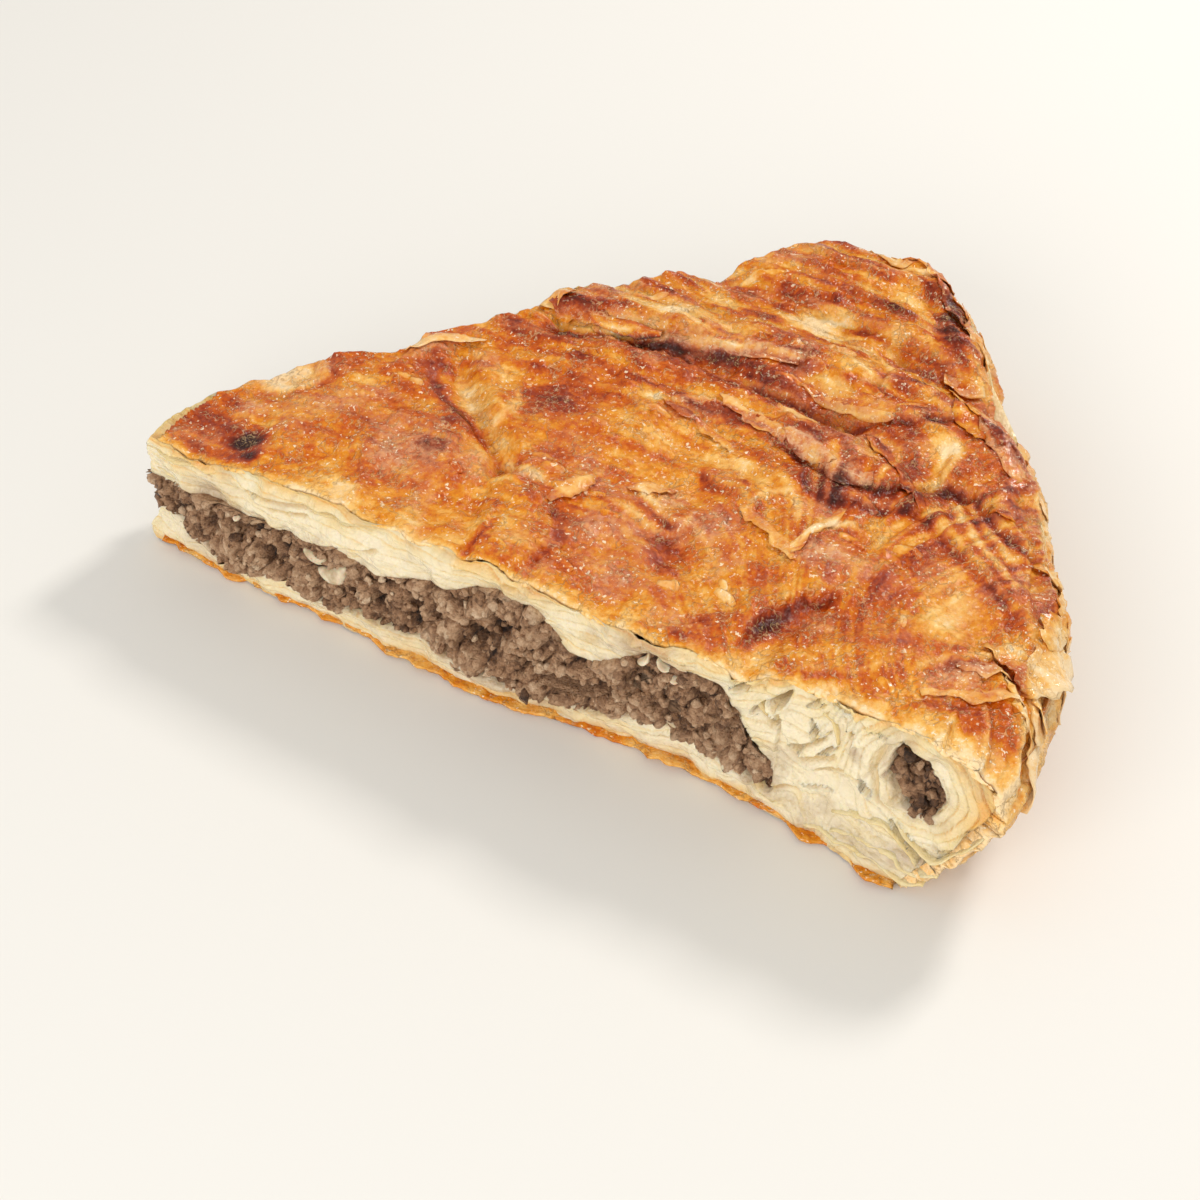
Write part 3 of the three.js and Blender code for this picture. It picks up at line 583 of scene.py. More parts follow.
bm = wedge_sheet(CRUST_GRAIN)
x, y, _ = places(bm).T
reach, angle = np.hypot(x, y), np.arctan2(y, x)
across = np.clip((angle + HALF_ANGLE) / (2 * HALF_ANGLE), 0, 1)
tip = tip_radius(across, 0.95) + 0.8 * rough(x, y, 5, 83)
outside = (reach < tip) | (reach > rim_start(angle) + RIM_END)
bmesh.ops.delete(bm, geom=[vert for vert, out in zip(bm.verts, outside) if out], context="VERTS")
x, y, _ = places(bm).T
work = leaf_work(x, y)
move(bm, crust_place(x, y, crust_relief(x, y, work)))
mark(bm, "bake", crust_bake(x, y, work))
mark(bm, "veil", crust_veil_and_highlight(x, y, work))


def close_edge(bm, loop, step):
    """Turns an open edge in by a step that is given for each vertex, and returns the new edge."""
    made = bmesh.ops.extrude_edge_only(bm, edges=loop)["geom"]
    for item in made:
        if isinstance(item, bmesh.types.BMVert):
            item.co += step(item)
    return [item for item in made if isinstance(item, bmesh.types.BMEdge)]


def inward(vert, distance, drop):
    """A step towards the middle of the wedge and down."""
    aim = Vector((WEDGE_MIDDLE[0] - vert.co.x, WEDGE_MIDDLE[1] - vert.co.y, 0)).normalized()
    return aim * distance - Vector((0, 0, drop))


def past_cut(vert):
    """The way out of the wedge at the nearest cut, or at the tip."""
    side = Vector((*cut_out(-1 if vert.co.y < 0 else 1), 0))
    from_tip = math.hypot(vert.co.x, vert.co.y) - TIP_LINE
    return side.lerp(Vector((-1, 0, 0)), 1 - float(smooth(from_tip, 1, 6)))


def lip_turn(vert):
    """The first, rounded part of the crust's edge."""
    return 0.35 * past_cut(vert) - 0.4 * Vector(vert[facing]) if vert.co.z > 5 else inward(vert, 0.1, -0.4)


def lip_fall(vert):
    return 0.05 * past_cut(vert) - 0.6 * Vector(vert[facing]) if vert.co.z > 5 else Vector((0, 0, 0.4))


WEDGE_MIDDLE = (125, 0)
facing = bm.verts.layers.float_vector.new("facing")
bm.normal_update()
for vert in bm.verts:
    vert[facing] = vert.normal
lip = close_edge(bm, rim_of(bm), lip_turn)
for vert in {vert for edge in lip for vert in edge.verts}:
    vert[bm.verts.layers.float["bake"]] = 0.6 * vert[bm.verts.layers.float["bake"]]
lip = close_edge(bm, lip, lip_fall)
for vert in {vert for edge in lip for vert in edge.verts}:
    vert[bm.verts.layers.float["bake"]] = 0.08
hidden_edge = close_edge(bm, lip, lambda vert: inward(vert, 14, 0.28 * (vert.co.z - 12)))
bmesh.ops.edgeloop_fill(bm, edges=hidden_edge)
bm.verts.layers.float_vector.remove(facing)


def paint(red, green, blue):
    """A colour of 0 to 255 as seen on a screen, as the values that a material takes."""
    seen = np.array((red, green, blue)) / 255
    return (*np.where(seen > 0.04045, ((seen + 0.055) / 1.055) ** 2.4, seen / 12.92), 1)


def add(tree, kind, inputs=(), **settings):
    node = tree.nodes.new("ShaderNode" + kind)
    for name, value in settings.items():
        setattr(node, name, value)
    for socket, value in dict(inputs).items():
        if isinstance(value, bpy.types.NodeSocket):
            tree.links.new(value, node.inputs[socket])
        else:
            node.inputs[socket].default_value = value
    return node


def sum_of(tree, operation, *values, clamp=False):
    return add(tree, "Math", enumerate(values), operation=operation, use_clamp=clamp).outputs[0]


def noise(tree, size, detail=3.0, roughness=0.55, stretch=(1, 1, 1)):
    """Noise from 0 to 1 with lumps of a size in mm, fixed to the piece."""
    where = add(tree, "TexCoord").outputs["Object"]
    where = add(tree, "Mapping", {"Vector": where, "Scale": stretch}).outputs[0]
    inputs = {"Vector": where, "Scale": 1000 / size, "Detail": detail, "Roughness": roughness}
    return add(tree, "TexNoise", inputs).outputs["Fac"]


def between(tree, value, low, high, to_low=0.0, to_high=1.0):
    inputs = {"Value": value, "From Min": low, "From Max": high, "To Min": to_low, "To Max": to_high}
    return add(tree, "MapRange", inputs, interpolation_type="SMOOTHSTEP").outputs[0]


def blend(tree, share, first, second):
    return add(tree, "Mix", {0: share, 6: first, 7: second}, data_type="RGBA").outputs[2]


def ramp(tree, share, *stops):
    node = add(tree, "ValToRGB", {"Fac": share})
    while len(node.color_ramp.elements) < len(stops):
        node.color_ramp.elements.new(1)
    for element, (position, colour) in zip(node.color_ramp.elements, stops):
        element.position, element.color = position, colour
    return node.outputs["Color"]


def effect(name, inputs, outputs):
    """A group of nodes for materials to share, with named inputs and outputs."""
    tree = bpy.data.node_groups.new(name, "ShaderNodeTree")
    for label, value in inputs.items():
        tree.interface.new_socket(label, in_out="INPUT", socket_type="NodeSocketFloat").default_value = value
    for label, kind in outputs.items():
        tree.interface.new_socket(label, in_out="OUTPUT", socket_type="NodeSocket" + kind)
    return tree, tree.nodes.new("NodeGroupInput").outputs, tree.nodes.new("NodeGroupOutput").inputs


def finish_with(tree, goal, **results):
    for label, value in results.items():
        tree.links.new(value, goal[label])


def material(name, group, attributes, bump, **surface):
    """A material whose group reads the piece's attributes and gives Color, Roughness and Height."""
    made = bpy.data.materials.new(name)
    made.use_nodes = True
    tree = made.node_tree
    shader = tree.nodes["Principled BSDF"]
    look = add(tree, "Group", node_tree=group)
    for label in attributes:
        value = add(tree, "Attribute", attribute_name=label).outputs["Fac"]
        tree.links.new(value, look.inputs[label])
    tree.links.new(look.outputs["Color"], shader.inputs["Base Color"])
    tree.links.new(look.outputs["Roughness"], shader.inputs["Roughness"])
    relief = add(tree, "Bump", {"Height": look.outputs["Height"], "Distance": bump, "Strength": 1.0})
    tree.links.new(relief.outputs[0], shader.inputs["Normal"])
    for label, value in surface.items():
        shader.inputs[label.replace("_", " ")].default_value = value
    return made


# Baked leaf: bake runs from cream (0) to burnt (1) and holds some painted shade, veil is dry whitish
# leaf and painted highlight, with mottling down to 0.3 mm.
SURFACE = {"Color": "Color", "Roughness": "Float", "Height": "Float"}
tree, given, goal = effect("baked_leaf", {"bake": 0.5, "veil": 0.0}, SURFACE)
mottle = sum_of(tree, "SUBTRACT", noise(tree, 5.5, 7, 0.66), 0.5)
speck = sum_of(tree, "SUBTRACT", noise(tree, 1.1, 5, 0.65), 0.5)
bake = sum_of(tree, "MULTIPLY_ADD", mottle, 0.62, given["bake"])
bake = sum_of(tree, "MULTIPLY_ADD", speck, 0.42, bake, clamp=True)
browned = ramp(
    tree, bake,
    (0.0, paint(250, 219, 166)), (0.15, paint(243, 188, 98)), (0.32, paint(224, 140, 26)),
    (0.48, paint(198, 88, 6)), (0.62, paint(154, 52, 4)), (0.78, paint(100, 27, 4)),
    (1.0, paint(48, 12, 4)),
)  # fmt: skip
scraps = between(tree, noise(tree, 1.6, 5, 0.7), 0.4, 0.6)
whitish = sum_of(tree, "MULTIPLY", given["veil"], between(tree, scraps, 0, 1, 0.3, 0.9))
whitish = sum_of(tree, "MULTIPLY", whitish, between(tree, bake, 0.5, 0.8, 1.0, 0.1))
colour = blend(tree, sum_of(tree, "MULTIPLY", whitish, 0.75), browned, paint(236, 196, 150))
# Fine curly wrinkles of the thinnest leaf, and painted highlights: small whitish glints of light on the oily
# bubbles.
curls = []
for size, patch, thin in ((5, 8, 0.02), (2.2, 5, 0.035)):
    line = sum_of(tree, "ABSOLUTE", sum_of(tree, "SUBTRACT", noise(tree, size, 3, 0.5), 0.5))
    kept = between(tree, noise(tree, patch), 0.48, 0.6)
    curls.append(sum_of(tree, "MULTIPLY", between(tree, line, 0.0, thin, 1.0, 0.0), kept))
curl = sum_of(tree, "MAXIMUM", *curls)
# Painted highlights: small near-white glints, fewer where the browning is dark.
painted_glint = between(tree, noise(tree, 0.85, 2, 0.5), 0.63, 0.67)
painted_glint = sum_of(tree, "MULTIPLY", painted_glint, between(tree, noise(tree, 7, 3), 0.4, 0.6, 0.25, 1.0))
painted_glint = sum_of(tree, "MULTIPLY", painted_glint, between(tree, bake, 0.5, 0.85, 1.0, 0.2))
colour = blend(tree, sum_of(tree, "MULTIPLY", curl, 0.45), colour, paint(248, 204, 146))
colour = blend(tree, sum_of(tree, "MULTIPLY", painted_glint, 0.85), colour, paint(255, 236, 200))
fine = sum_of(tree, "MULTIPLY_ADD", painted_glint, 0.05, sum_of(tree, "MULTIPLY", noise(tree, 1.0, 3, 0.6), 0.2))
fine = sum_of(tree, "MULTIPLY_ADD", curl, 0.25, fine)
height = sum_of(tree, "MULTIPLY_ADD", noise(tree, 3.2, 4, 0.55), 1.6, fine)
oily = between(tree, noise(tree, 5, 4), 0.38, 0.62, 0.07, 0.26)
finish_with(tree, goal, Color=colour, Roughness=oily, Height=height)
baked_leaf = tree
crust_finish = material("baked_crust", baked_leaf, ("bake", "veil"), 0.001, Specular_IOR_Level=0.28)
settle(bm, "browned_crust", crust_finish, "pastry")

# ---- Dough of the cuts and the tip ----
# Pale inner leaves of the pastry, soft and moist, pressed together in layers and cut through by the knife.
# One wall goes right round the wedge, pushed in where the meat lies and where leaves part in small pockets.

MEAT_END = 156.0
MEAT_END_SLANT = 16.0  # the meat stops this much sooner at the back cut
BACK_REACH = 1 - MEAT_END_SLANT / MEAT_END
meat_top = curve_through(
    (0, 19), (12, 20.5), (40, 20.5), (50, 23), (58, 20.5), (72, 24), (84, 27.5), (90, 29.5), (101, 30),
    (110, 22), (116, 22.5), (128, 31), (140, 31.5), (147, 27.5), (151, 19.5), (157, 12),
)  # fmt: skip
meat_bottom = curve_through(
    (0, 12), (12, 7.5), (24, 4.5), (36, 9.5), (45, 6.5), (60, 7), (75, 8), (92, 5.5), (103, 5.5), (112, 6),
    (130, 13.5), (142, 10), (151, 9), (157, 8),
)  # fmt: skip
ROLL_MEAT = {"along": 186.0, "height": 25.2, "half_along": 6.4, "half_height": 8.3}
BACK_ROLL = {"along": 151.5, "height": 21}  # middle of its other end, at the back cut
# Pockets between leaves of the front cut: distance from the tip, height, half length and height, tilt, depth.
POCKETS = (
    (151.5, 28.6, 2.4, 0.7, 62, 3), (162.8, 33.6, 2.2, 0.6, 30, 3), (163.6, 27.6, 2.6, 0.6, -52, 3),
    (166.4, 24.0, 2.4, 0.6, 40, 3), (152.4, 13.6, 3.2, 0.5, 12, 2), (165.5, 14.2, 3.6, 0.5, 10, 2.5),
    (176.5, 33.6, 2.0, 0.5, -40, 2.5), (148.2, 33.0, 2.6, 0.9, 35, 4), (155.6, 32.0, 2.8, 1.5, 43, 5),
    (155.6, 26.0, 2.8, 0.8, -48, 5), (160.0, 21.7, 2.6, 1.0, 34, 4), (169.7, 36.0, 1.6, 0.6, 18, 3),
    (170.6, 30.4, 1.9, 0.8, -59, 4), (175.7, 20.3, 2.0, 0.7, -38, 4), (184.5, 13.2, 3.8, 1.2, -42, 7),
    (188.6, 9.7, 3.2, 1.1, -25, 7), (194.0, 13.5, 2.0, 0.5, 0, 3), (7.0, 20.0, 2.0, 1.2, 10, 3),
    (31.0, 28.6, 1.6, 0.4, 12, 1.5),
)  # fmt: skip
# Stained patches of the front cut: distance from the tip, height, half length, half height, strength.
STAINS = (
    (19, 23.5, 6, 3.5, 0.75), (26.5, 20, 2, 2, 0.6), (129, 33, 7, 3, 0.7), (136, 29, 4, 4, 0.4),
    (172.4, 27, 1.6, 1.5, 0.9), (168, 20, 4, 1, 0.3), (177, 6, 8, 3, 0.55), (188, 9.5, 4, 2, 0.5),
    (80, 9, 9, 3, 0.25),
)  # fmt: skip
# Edges of leaves in the front cut, the leaf on the left: how proud, then distance from the tip and height.
FACE_EDGES = (
    (0.9, (146, 34.4), (149, 35.4), (152, 34.6)), (1.0, (152.5, 35.0), (155, 34.2), (157.8, 35.2)),
    (1.1, (154.6, 31.2), (156.0, 29.5), (157.0, 26.5), (158.2, 23.6)),
    (0.8, (152.8, 30), (154.2, 27.4), (156.2, 24.2)), (1.1, (157.6, 22.6), (161, 24.2), (165.9, 27.4)),
    (0.8, (158, 20.4), (161, 20.8), (164, 22.3), (169, 24.2)),
    (0.9, (167, 36.6), (170.2, 37.0), (173, 35.2), (177, 33.4)), (0.8, (169, 33), (170.2, 31), (172, 27.9)),
    (0.8, (161.3, 17.2), (165, 19.2), (168.7, 19.9), (172.9, 20.3), (176, 18.2), (179.6, 16.6)),
    (0.8, (157, 17.8), (163, 18.6), (168, 21.4), (173, 22.2), (175, 21.6)),
    (0.7, (191.5, 12.6), (194.5, 14.4), (197.6, 17), (199.8, 22)),
    (0.6, (178.6, 32), (177.2, 26), (178.6, 20.5), (182, 16.6)),
    (0.7, (24.3, 26.9), (32, 29.9), (40.2, 31.0), (56.7, 33.3), (64.9, 33)),
    (0.7, (44, 21.6), (56.1, 26.2), (64.2, 29.4)), (0.8, (8, 29.6), (14, 30.2), (21, 28.8)),
    (0.7, (30, 27.2), (38, 28), (46, 30)), (0.8, (100, 34.2), (107.4, 35.4), (113.4, 35.8)),
    (0.6, (82, 32.6), (92, 34.4), (99, 35.2)), (0.8, (124, 34), (131, 35.2), (139, 34.6)),
    (0.7, (117, 33), (123.5, 31.9), (128, 33)), (0.6, (56, 3.2), (66, 4.6), (74, 3.8)),
    (0.7, (76, 4.4), (86, 3.4), (97, 2.9)), (0.8, (110, 4.4), (122, 6.4), (135, 8.4)),
    (0.8, (138, 5.2), (149, 6.6), (160, 5.6)), (0.7, (140, 9.4), (150, 8.0), (159, 11), (168, 12.6)),
)  # fmt: skip
# Leaf ends that stand free of the front cut, given in the same way.
LEAF_ENDS = (
    (1.3, (169.4, 10.3), (175, 13), (179.9, 14.2), (182.6, 13.4), (186.0, 10.4), (188.6, 8.2)),
    (1.4, (183.2, 16.2), (187, 12.9), (190, 10.9), (192.4, 11.0), (196.5, 15.7), (200, 20.5)),
    (1.5, (169.7, 6.0), (177, 8.2), (183.6, 8.6), (186.5, 6.2), (193.2, 7.8)),
    (1.2, (164, 4.0), (172, 4.6), (180, 5.0), (186, 3.6), (191, 4.8)),
    (1.2, (0.6, 22), (3.5, 22.6), (8.5, 22.2)), (1.4, (1.2, 27.6), (4.5, 27.6), (9, 28.6), (15, 29.6)),
    (1.0, (40, 30.6), (50, 31.6), (60, 32.6)), (1.1, (148, 31.8), (151, 30.2), (153.4, 27.2)),
    (1.2, (158.5, 24.4), (162, 25.6), (166, 28.6)), (1.1, (164.4, 32.4), (167.2, 30.2), (168.6, 27)),
)  # fmt: skip
WALL = {"front": 620, "tip": 60, "back": 130, "rim": 12}  # steps of the wall's grid round the wedge
WALL_ROWS = 118
wall_ends = np.cumsum([0, *WALL.values()])
widening = np.linspace(0, 25.9, 60)  # the crust's way over the edge as far as the widest place


def roof(across, radius):
    """Height of the crust above a place of the wedge's outline."""
    angle = mix(-HALF_ANGLE, HALF_ANGLE, across)
    start = rim_start(angle)
    reach = np.minimum(radius, start) + np.interp(radius - start, rim_out(widening), widening)
    x, y = reach * np.cos(angle), reach * np.sin(angle)
    return crust_place(x, y, crust_relief(x, y, leaf_work(x, y)))[..., 2]


def meat_gap(along, height, side=-1):
    """How far outside the slab of meat a point of a cut lies. It is negative inside."""
    along = along if side < 0 else along / BACK_REACH
    return np.maximum(np.maximum(meat_bottom(along) - height, height - meat_top(along)), along - MEAT_END)


def roll_gap(along, height, middle=ROLL_MEAT):
    """The same for the meat in the rolled edge at the front cut."""
    off_along, off_height = along - middle["along"], height - middle["height"]
    lean = off_along + 0.25 * off_height
    gap = 7 * (np.hypot(lean / ROLL_MEAT["half_along"], off_height / ROLL_MEAT["half_height"]) - 1)
    return gap + 1.6 * rough(along, height, 5, 63) + 0.8 * rough(along, height, 2.2, 66) + 0.8


def dough_leaves(along, height):
    """Leaves in a cut, as a number that rises by 1 from leaf to leaf, curling round the rolled meat."""
    level = height + 1.6 * lumps(along / 17, height / 9, 86) + 0.8 * lumps(along / 6, height / 5, 87)
    around = np.hypot(along - ROLL_MEAT["along"], 1.1 * (height - ROLL_MEAT["height"]))
    return mix(level, around + 1.2 * lumps(along / 7, height / 6, 88), smooth(along, 160, 174)) / 2.1


def dough_lumps(unrolled, height):
    """How far the soft dough of a face stands out in mm."""
    large = 1.5 * rough(unrolled, height, 11, 91) + 0.8 * rough(unrolled, height, 4, 94)
    large = large * (1 - 0.4 * smooth(unrolled, 146, 154))
    return large + 0.12 * rough(unrolled, height, 1.3, 97)


def face_place(across, radius, height, proud):
    """Place on the cut faces or the blunt tip, standing proud of them by some mm."""
    share = height / CROWN
    angle = mix(-HALF_ANGLE, HALF_ANGLE, across)
    tipward = 1 - smooth(radius - tip_radius(across, share), 0, 3)
    outward = np.multiply.outer((1 - across) ** 6, cut_out(-1)) + np.multiply.outer(across**6, cut_out(1))
    outward = outward - tipward[..., None] * np.stack((np.cos(angle), np.sin(angle)), -1)
    outward = outward / np.linalg.norm(outward, axis=-1, keepdims=True)
    plan = plan_place(across, radius, share) + proud[..., None] * outward
    return np.concatenate((plan, height[..., None]), -1)


bm = bmesh.new()
bmesh.ops.create_grid(bm, x_segments=int(wall_ends[-1]), y_segments=WALL_ROWS, size=0.5)
x, y, _ = places(bm).T
column, level = np.round((x + 0.5) * wall_ends[-1]).astype(int), y + 0.5
columns = np.arange(wall_ends[-1] + 1)
across, run = np.interp(columns, wall_ends, (0, 0, 1, 1, 0)), np.interp(columns, wall_ends, (1, 0, 0, 1, 1))
angle = mix(-HALF_ANGLE, HALF_ANGLE, across)
upper_rim = rim_radius(np.degrees(angle)) - EDGE_DRAW
ceiling = roof(across, mix(tip_radius(across, 0.95), upper_rim, run))
share = ceiling / CROWN
top_rim = rim_radius(np.degrees(angle)) + rim_profile(share) + rim_wrinkles(angle, share) - 1.0
nearer = roof(across, mix(tip_radius(across, share), top_rim, run))
ceiling = mix(nearer, ceiling, smooth(run, 0.9, 0.97)) - 0.2 * CRUST_THICK
across, run, ceiling = across[column], run[column], ceiling[column]
angle = mix(-HALF_ANGLE, HALF_ANGLE, across)
height = mix(0.5, ceiling, level)
share = height / CROWN
rim = rim_radius(np.degrees(angle)) + rim_profile(share) + rim_wrinkles(angle, share) - 1.0
along = mix(tip_radius(across, share), rim, run) - TIP_LINE
front, back = column <= wall_ends[1], column > wall_ends[2]
unrolled = np.where(front, along, np.where(back, -25 - along, -25 * across))

slab_gap = np.where(back, meat_gap(along, height, 1), meat_gap(along, height))
end_gap = np.where(back, roll_gap(along, height, BACK_ROLL), roll_gap(along, height))
gap = np.minimum(slab_gap, end_gap)
gap = gap + mix(0.9, 1.8, smooth(along, 170, 176)) * rough(unrolled, height, 4.5, 84)
leaves = dough_leaves(unrolled, height)
leaf, place = np.floor(leaves), leaves - np.floor(leaves)
ends = mix(lumps(unrolled / 6, leaf, 90), lumps(unrolled / 6, leaf + 1, 90), smooth(place, 0.78, 1))
calm = 1 - 0.7 * hill(along - 167, 8) * smooth(-height, -26, -20)
flaky = calm * (0.4 + 0.5 * smooth(along, 144, 156) + 0.2 * hill(height, 5))
proud = flaky * (0.7 * ends - 0.7 * hill(place - 0.86, 0.06)) + dough_lumps(unrolled, height)
upper = np.clip((height - meat_top(along)) / (ceiling - meat_top(along)), 0, 1)
proud = proud + 1.3 * np.sin(np.pi * upper) * (along < MEAT_END) * smooth(unrolled, -20, 4)
proud = mix(proud, 0.25, hill(ceiling - height, 0.9))
proud = proud + 0.6 * hill(gap - 0.8, 1.1) - 5.5 * smooth(-gap, -0.3, 0.7)
shaded_hollow = np.zeros(len(along))
for rise, *line in FACE_EDGES:
    share_along, left = beside(line, along, height)
    fade = front * np.clip(6 * share_along, 0, 1) * np.clip(6 * (1 - share_along), 0, 1)
    step = smooth(left, -0.25, 0.25) * hill(np.maximum(left, 0), 3.5) - 0.8 * hill(left + 0.6, 0.5)
    shaded_hollow = np.maximum(shaded_hollow, fade * hill(left + 0.6, 0.5))
    proud = proud + 1.6 * rise * fade * step
# Painted shade in the hollows beside leaf edges and inside the pockets, a darker olive gold in the dough's
# colour.
opened_shade = 0.7 * shaded_hollow
for at, middle, half_along, half_height, tilt, depth in POCKETS:
    c, s = math.cos(math.radians(tilt)), math.sin(math.radians(tilt))
    a = ((along - at) * c + (height - middle) * s) / half_along
    b = ((height - middle) * c - (along - at) * s) / half_height
    lens = 1 - a * a - np.abs(b + 0.25 * lumps(along, height, 99))
    opened_shade = np.maximum(opened_shade, front * smooth(lens, 0, 0.5))
    proud = proud - front * (1.4 * depth * smooth(lens, -0.03, 0.3) - 0.6 * hill(lens + 0.2, 0.16))
move(bm, face_place(across, TIP_LINE + along, height, proud * (column <= wall_ends[3])))
browned = 0.25 * hill(ceiling - height, 1.2) + 0.28 * hill(ceiling - height, 4) + 0.5 * hill(height, 2.4)
browned = browned + 0.5 * smooth(along, 188, 200) + 0.25 * rough(unrolled, height, 7, 101) + 0.15 * ends
browned = browned + 0.3 * calm * hill(place - 0.88, 0.07)
mark(bm, "gold", np.clip(browned, 0, 1))
mark(bm, "deep", opened_shade)
soaked = 0.7 * hill(np.maximum(gap, 0), 1.6) * (0.6 + 0.6 * rough(unrolled, height, 5, 104))
soaked = soaked + 0.35 * smooth(rough(unrolled, height, 6, 107), 0.1, 0.5)
for at, middle, half_along, half_height, strength in STAINS:
    away = np.hypot((along - at) / half_along, (height - middle) / half_height)
    soaked = soaked + strength * front * hill(away, 1)
mark(bm, "soak", np.clip(soaked, 0, 1))
bmesh.ops.remove_doubles(bm, verts=bm.verts, dist=0.001)
upper_edge = [edge for edge in rim_of(bm) if edge.verts[0].co.z > 10]
lower_edge = [edge for edge in rim_of(bm) if edge.verts[0].co.z < 10]
upper_edge = close_edge(bm, upper_edge, lambda vert: inward(vert, 4, 4))
for loop in (upper_edge, lower_edge):
    bmesh.ops.edgeloop_fill(bm, edges=loop)

# Moist dough: gold is where the bake reached it, soak where fat and juice soaked in, deep the painted
# shade in the pockets and in the hollows beside leaf edges.
tree, given, goal = effect("moist_dough", {"gold": 0.0, "soak": 0.0, "deep": 0.0}, SURFACE)
mottle = sum_of(tree, "SUBTRACT", noise(tree, 5, 5, 0.6), 0.5)
gold = sum_of(tree, "MULTIPLY_ADD", mottle, 0.5, given["gold"], clamp=True)
pale = ramp(
    tree, gold,
    (0.0, paint(232, 218, 186)), (0.22, paint(230, 210, 164)), (0.5, paint(230, 192, 126)),
    (0.8, paint(222, 158, 76)), (1.0, paint(190, 112, 46)),
)  # fmt: skip
soaked = sum_of(tree, "MULTIPLY", given["soak"], between(tree, noise(tree, 2.2, 4), 0.3, 0.6, 0.5, 1.0))
colour = blend(tree, soaked, pale, paint(172, 144, 114))
# Painted shade: the pockets and leaf hollows turn a darker olive gold.
colour = blend(tree, sum_of(tree, "MULTIPLY", given["deep"], 0.85), colour, paint(200, 160, 78))
fine = sum_of(tree, "MULTIPLY_ADD", noise(tree, 0.7, 3, 0.6), 0.5, noise(tree, 2.4, 4, 0.6))
moist = between(tree, noise(tree, 4, 4), 0.38, 0.62, 0.08, 0.3)
finish_with(tree, goal, Color=colour, Roughness=moist, Height=fine)
dough_finish = material(
    "moist_dough", tree, ("gold", "soak", "deep"), 0.0006, Subsurface_Weight=0.35, Subsurface_Scale=0.002
)  # fmt: skip
dough_finish.node_tree.nodes["Principled BSDF"].inputs["Subsurface Radius"].default_value = (1.0, 0.75, 0.4)
settle(bm, "layered_dough", dough_finish, "pastry")

bm = bmesh.new()
for name in ("gold", "soak", "deep"):
    bm.verts.layers.float.new(name)
for number, (proud_by, *points) in enumerate(LEAF_ENDS):
    steps = len(points) - 1
    run_along = curve_through(*((i / steps, point[0]) for i, point in enumerate(points)))
    run_height = curve_through(*((i / steps, point[1]) for i, point in enumerate(points)))
    pieces = max(8, int(1.6 * math.dist(points[0], points[-1])))
    made = bmesh.ops.create_grid(bm, x_segments=pieces, y_segments=4, size=0.5)["verts"]
    t, v = np.array([vert.co[:2] for vert in made]).T + 0.5
    along, height = run_along(t), run_height(t)
    ragged = 0.55 + 0.45 * lumps(along / 2.6, number, 111) + 0.25 * lumps(along / 1.1, number, 112)
    fringe = proud_by * ragged * np.sin(np.pi * np.clip(t, 0.03, 0.97)) ** 0.5
    out = dough_lumps(along, height) - 1.8 + v * (2.2 + fringe)
    height = height - 0.35 * v**2 * proud_by + 0.3 * v * lumps(along / 3, number, 113)
    for vert, place, edge in zip(made, face_place(0 * along, TIP_LINE + along, height, out), v):
        vert.co = place
        vert[bm.verts.layers.float["gold"]] = 0.1 + 0.25 * edge
bmesh.ops.recalc_face_normals(bm, faces=bm.faces)
bmesh.ops.solidify(bm, geom=bm.faces[:], thickness=-0.32)
settle(bm, "leaf_ends", dough_finish, "pastry")

# ---- Base crust ----
# The lowest leaves, baked thin and brittle on the tray: a thin sheet, crinkled and torn where it shows.

BASE_GRAIN = 0.8
BASE_THICK = 0.7
# Where the base's edge curls out from the front cut: distance from the tip, half length, how far out and up.
CURLS = (
    (-1.5, 5, 3.0, 2.0), (8, 6, 1.2, 1.0), (36, 5, 0.8, 0.2), (66, 4, 1.8, -0.1), (74, 5, 2.2, 0.8),
    (87, 7, 1.6, 0.2), (102, 26, 1.4, 0), (132, 5, 2.0, 1.0), (152, 5, 1.2, 0.5), (165, 3.5, 2.6, 0.3),
    (181, 6, 2.2, 0.4),
)  # fmt: skip
bm = wedge_sheet(BASE_GRAIN)
x, y, _ = places(bm).T
reach, angle = np.hypot(x, y), np.arctan2(y, x)
across = np.clip((angle + HALF_ANGLE) / (2 * HALF_ANGLE), 0, 1)
base_edge = rim_radius(np.degrees(angle)) + rim_profile(0) + 0.5
outside = (reach < tip_radius(across, 0) - 1 + 0.8 * rough(x, y, 4, 106)) | (reach > base_edge)
bmesh.ops.delete(bm, geom=[vert for vert, out in zip(bm.verts, outside) if out], context="VERTS")
x, y, _ = places(bm).T
reach, angle = np.hypot(x, y), np.arctan2(y, x)
across, along = np.clip((angle + HALF_ANGLE) / (2 * HALF_ANGLE), 0, 1), reach - TIP_LINE
plan = plan_place(across, reach, 0)
front_near = hill((angle + HALF_ANGLE) * reach, 4.0)
back_near = hill((HALF_ANGLE - angle) * reach, 4.0)
out = 0.3 + 0.9 * rough(along, x * 0, 7, 107) + 0.9 * rough(along, x * 0, 2.6, 110)
up = 0.5 + 0.8 * rough(along, x * 0 + 5, 6, 112)
for at, half, curl_out, curl_up in CURLS:
    out, up = out + curl_out * hill(along - at, half), up + curl_up * hill(along - at, half)
plan = plan + (front_near * out)[:, None] * cut_out(-1) + (back_near * out * 0.7)[:, None] * cut_out(1)
lift = np.clip(0.15 + 0.2 * rough(x, y, 6, 115) + (front_near + back_near) * up, 0.02, 3)
move(bm, np.stack((plan[:, 0], plan[:, 1], lift), -1))
bake = 0.5 + 0.14 * rough(x, y, 14, 118) + 0.14 * rough(x, y, 4, 121) - 0.2 * (front_near + back_near)
mark(bm, "bake", np.clip(bake, 0, 1))
